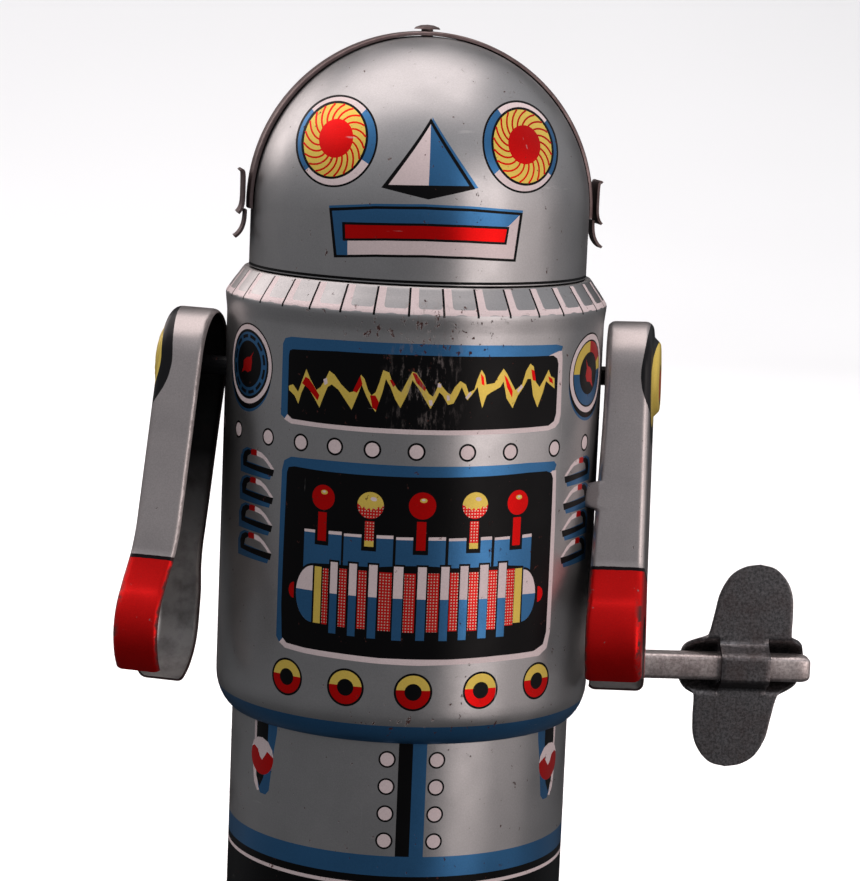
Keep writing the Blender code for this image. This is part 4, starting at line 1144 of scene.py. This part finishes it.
def key_wing():
    """A stamping of two lobes. It dips behind the rod, and the strap between its slits passes in front."""
    top = WING_LEFT[-1][1]
    rising = [top * math.sin(angle) for angle in np.linspace(0, math.pi / 2, 46)]
    lift = list(np.linspace(0, DIP, 20)) + [z for z in rising if DIP + 0.2 < z < top - 0.02]
    lift += [top - 0.012, top - 0.002]
    heights = [-z for z in reversed(lift[1:])] + lift
    bm = bmesh.new()
    strips = {"left": [], "strap": [], "right": []}
    for height in heights:
        tall = abs(height)
        left, right = wing_edge(WING_LEFT, tall), wing_edge(WING_RIGHT, tall)
        if height < 0:
            left, right = -right, -left
        free = smooth_step((tall - DIP) / 4.0)
        width = right - left
        first = -STRAP_HALF * (1 - free) + (left + width * 0.3) * free
        second = STRAP_HALF * (1 - free) + (left + width * 0.7) * free
        back = smooth_step((DIP - tall) / (DIP - 1.7))
        forward = smooth_step((3.9 - tall) / 2.2)
        under = 0.5 * smooth_step((DIP - tall) / 0.8)
        ends = {"left": (left, first + under, 8), "strap": (first, second, 10),
                "right": (second - under, right, 8)}
        for key, (start, stop, count) in ends.items():
            row = []
            for share in np.linspace(0, 1, count):
                across = start + (stop - start) * share
                if key == "strap":
                    deep = -forward * (ROD_HALF + 0.3 + SHEET)
                else:
                    out = 1 - share if key == "left" else share
                    deep = back * (ROD_HALF + 0.3) * (1 - 0.15 * out * out)
                row.append(bm.verts.new(((KEY_X + across) * MM, deep * MM, (KEY_Z + height) * MM)))
            strips[key].append(row)
    for rows in strips.values():
        join_rows(bm, rows)
    bmesh.ops.remove_doubles(bm, verts=bm.verts, dist=2e-6)
    piece = sheet_from("key_stamping", bm, "key", ["key_wing"], [KEY_STEEL] * 3, SHEET * MM)
    edge = piece.modifiers.new("soft_edges", "BEVEL")
    edge.width = 0.00018
    edge.segments = 2
    edge.limit_method = "ANGLE"
    edge.angle_limit = math.radians(55)


def key_rod():
    """A square rod with softened edges and a rounded end."""
    soft = 0.75
    section = []
    for x, y, first in ((1, 1, 0), (-1, 1, 90), (-1, -1, 180), (1, -1, 270)):
        section += ring_points(x * (ROD_HALF - soft), y * (ROD_HALF - soft), soft, steps=6, start=first,
                               stop=first + 90)
    spots = [(14.3, 0.9), (14.5, 1.0)] + [(x, 1.0) for x in np.linspace(16, 62, 30)]
    spots += [(62.8, 1.0), (63.4, 0.975), (63.9, 0.92), (64.25, 0.83), (64.45, 0.70), (64.5, 0.5)]
    bm = bmesh.new()
    rows = [[bm.verts.new((x * MM, y * k * MM, (KEY_Z + z * k) * MM)) for y, z in section] for x, k in spots]
    join_rows(bm, rows, closed=True)
    bm.faces.new(list(reversed(rows[0])))
    bm.faces.new(rows[-1])
    bmesh.ops.recalc_face_normals(bm, faces=bm.faces)
    mesh = bpy.data.meshes.new("key_square_rod")
    bm.to_mesh(mesh)
    bm.free()
    mesh.materials.append(ROD_STEEL)
    mesh.polygons.foreach_set("use_smooth", [True] * len(mesh.polygons))
    crisp(finished("key_square_rod", mesh, "key", ["key_rod"]), 50)


# ---------------------------------------------------------------- other CAD nodes

KEEP_LOOKS = {
    "plain_tin": PLAIN_TIN, "rusty_tin": RUSTY, "black_tin": BLACK_TIN, "key_steel": KEY_STEEL,
    "spring_steel": SPRING_STEEL, "brass": BRASS, "lithographed_tin": INKS["tin"],
}


def dress_nodes():
    """Every CAD node that still shows: its procedural metal, and crisp edges."""
    for name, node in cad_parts.items():
        for holder in node.material_slots:
            old = holder.material.name.split(".")[0] if holder.material else ""
            holder.material = BLACK_TIN if "stud" in name else KEEP_LOOKS.get(old, PLAIN_TIN)
        for polygon in node.data.polygons:
            polygon.use_smooth = True
        crisp(node, 32)


# ---------------------------------------------------------------- stage


def backdrop():
    """A pale floor that curves up behind."""
    rows = [(-2.2, 0.0), (0.9, 0.0)]
    rows += [(0.9 + 0.5 * math.sin(a), 0.5 - 0.5 * math.cos(a)) for a in np.linspace(0.1, math.pi / 2, 10)]
    rows.append((1.4, 2.2))
    bm = bmesh.new()
    lines = [[bm.verts.new((x, y, z)) for y, z in rows] for x in (-2.4, 2.4)]
    for i in range(len(rows) - 1):
        bm.faces.new((lines[0][i], lines[1][i], lines[1][i + 1], lines[0][i + 1]))
    mesh = bpy.data.meshes.new("backdrop")
    bm.to_mesh(mesh)
    bm.free()
    for polygon in mesh.polygons:
        polygon.use_smooth = True
    n = Nodes("pale_paper")
    n.set(Base_Color=n.mix(n.span(n.noise(0.3, 2.0), 0.3, 0.7), (0.86, 0.86, 0.86), (0.89, 0.89, 0.89)),
          Roughness=0.9)
    n.set(Specular_IOR_Level=0.1)
    mesh.materials.append(n.material)
    floor = bpy.data.objects.new("backdrop", mesh)
    floor.visible_glossy = False
    floor.visible_diffuse = False
    bpy.context.scene.collection.objects.link(floor)


WARM = (1.0, 0.88, 0.85)


def lamp(name, place, target, size, power, tall=None, mirrored_too=True):
    data = bpy.data.lights.new(name, "AREA")
    data.energy = power
    data.color = WARM if mirrored_too else (1, 1, 1)
    data.size = size
    if tall:
        data.shape = "RECTANGLE"
        data.size_y = tall
    lamp_object = bpy.data.objects.new(name, data)
    lamp_object.location = place
    lamp_object.rotation_mode = "QUATERNION"
    lamp_object.rotation_quaternion = (Vector(target) - Vector(place)).to_track_quat("-Z", "Y")
    lamp_object.visible_glossy = mirrored_too
    bpy.context.scene.collection.objects.link(lamp_object)


def room():
    """Dim surroundings for the metal to reflect: darker towards the floor, and low down behind."""
    world = bpy.data.worlds.new("room")
    world.use_nodes = True
    tree = world.node_tree
    back = tree.nodes["Background"]
    back.inputs["Color"].default_value = (0.95, 0.96, 1.0, 1)
    where = tree.nodes.new("ShaderNodeTexCoord")
    split = tree.nodes.new("ShaderNodeSeparateXYZ")
    both = tree.nodes.new("ShaderNodeMath")
    both.operation = "MULTIPLY"
    tree.links.new(where.outputs["Generated"], split.inputs[0])
    ramps = (("Z", -0.45, 0.7, 0.10, 0.75), ("Y", 0.55, 0.90, 1.0, 0.10))
    for (way, *numbers), product in zip(ramps, both.inputs):
        ramp = tree.nodes.new("ShaderNodeMapRange")
        for key, number in zip(("From Min", "From Max", "To Min", "To Max"), numbers):
            ramp.inputs[key].default_value = number
        tree.links.new(split.outputs[way], ramp.inputs["Value"])
        tree.links.new(ramp.outputs["Result"], product)
    tree.links.new(both.outputs[0], back.inputs["Strength"])
    bpy.context.scene.world = world


def lights():
    """A wide softbox overhead and behind, a tall one to the front right, and the paper's own light."""
    room()
    lamp("overhead_softbox", (-0.33, 0.10, 0.78), (-0.33, 0.10, 0.0), 1.30, 6.2, 0.70)
    lamp("rear_softbox", (-0.58, 0.52, 0.46), (0, 0, 0.12), 0.45, 1.6, 0.40)
    lamp("tall_softbox", (0.47, -0.52, 0.15), (0, 0, 0.10), 0.36, 2.2, 0.62)
    lamp("side_softbox", (0.68, -0.18, 0.16), (0, 0, 0.10), 0.40, 0.85, 0.60)
    lamp("paper_light", (0.0, 0.40, 1.30), (0.0, 0.95, 0.20), 0.9, 7.6, mirrored_too=False)


def camera():
    """Where the picture was taken from: a little above the face, and a few degrees to the robot's right."""
    pitch, roll, turn = 0.1446, 0.0415, math.radians(-3.5)
    data = bpy.data.cameras.new("camera")
    data.sensor_width = 36
    data.lens = 115.27
    data.clip_start = 0.01
    item = bpy.data.objects.new("camera", data)
    ahead = Vector((0, math.cos(pitch), -math.sin(pitch)))
    aside, above = Vector((1, 0, 0)), Vector((0, math.sin(pitch), math.cos(pitch)))
    right = aside * math.cos(roll) + above * math.sin(roll)
    up = above * math.cos(roll) - aside * math.sin(roll)
    basis = Matrix((right, up, -ahead)).transposed().to_4x4()
    spot = Matrix.Rotation(turn, 4, "Z") @ Matrix.Translation((0.003, -0.433, 0.152)) @ basis
    item.matrix_world = spot
    bpy.context.scene.collection.objects.link(item)
    bpy.context.scene.camera = item


dress_nodes()
head()
head_band()
ear_clip("right", -1)
ear_clip("left", 1)
body()
waist()
Arm("left").build()
Arm("right").build()
key_wing()
key_rod()
backdrop()
lights()
camera()
bpy.context.scene.view_settings.view_transform = "Standard"
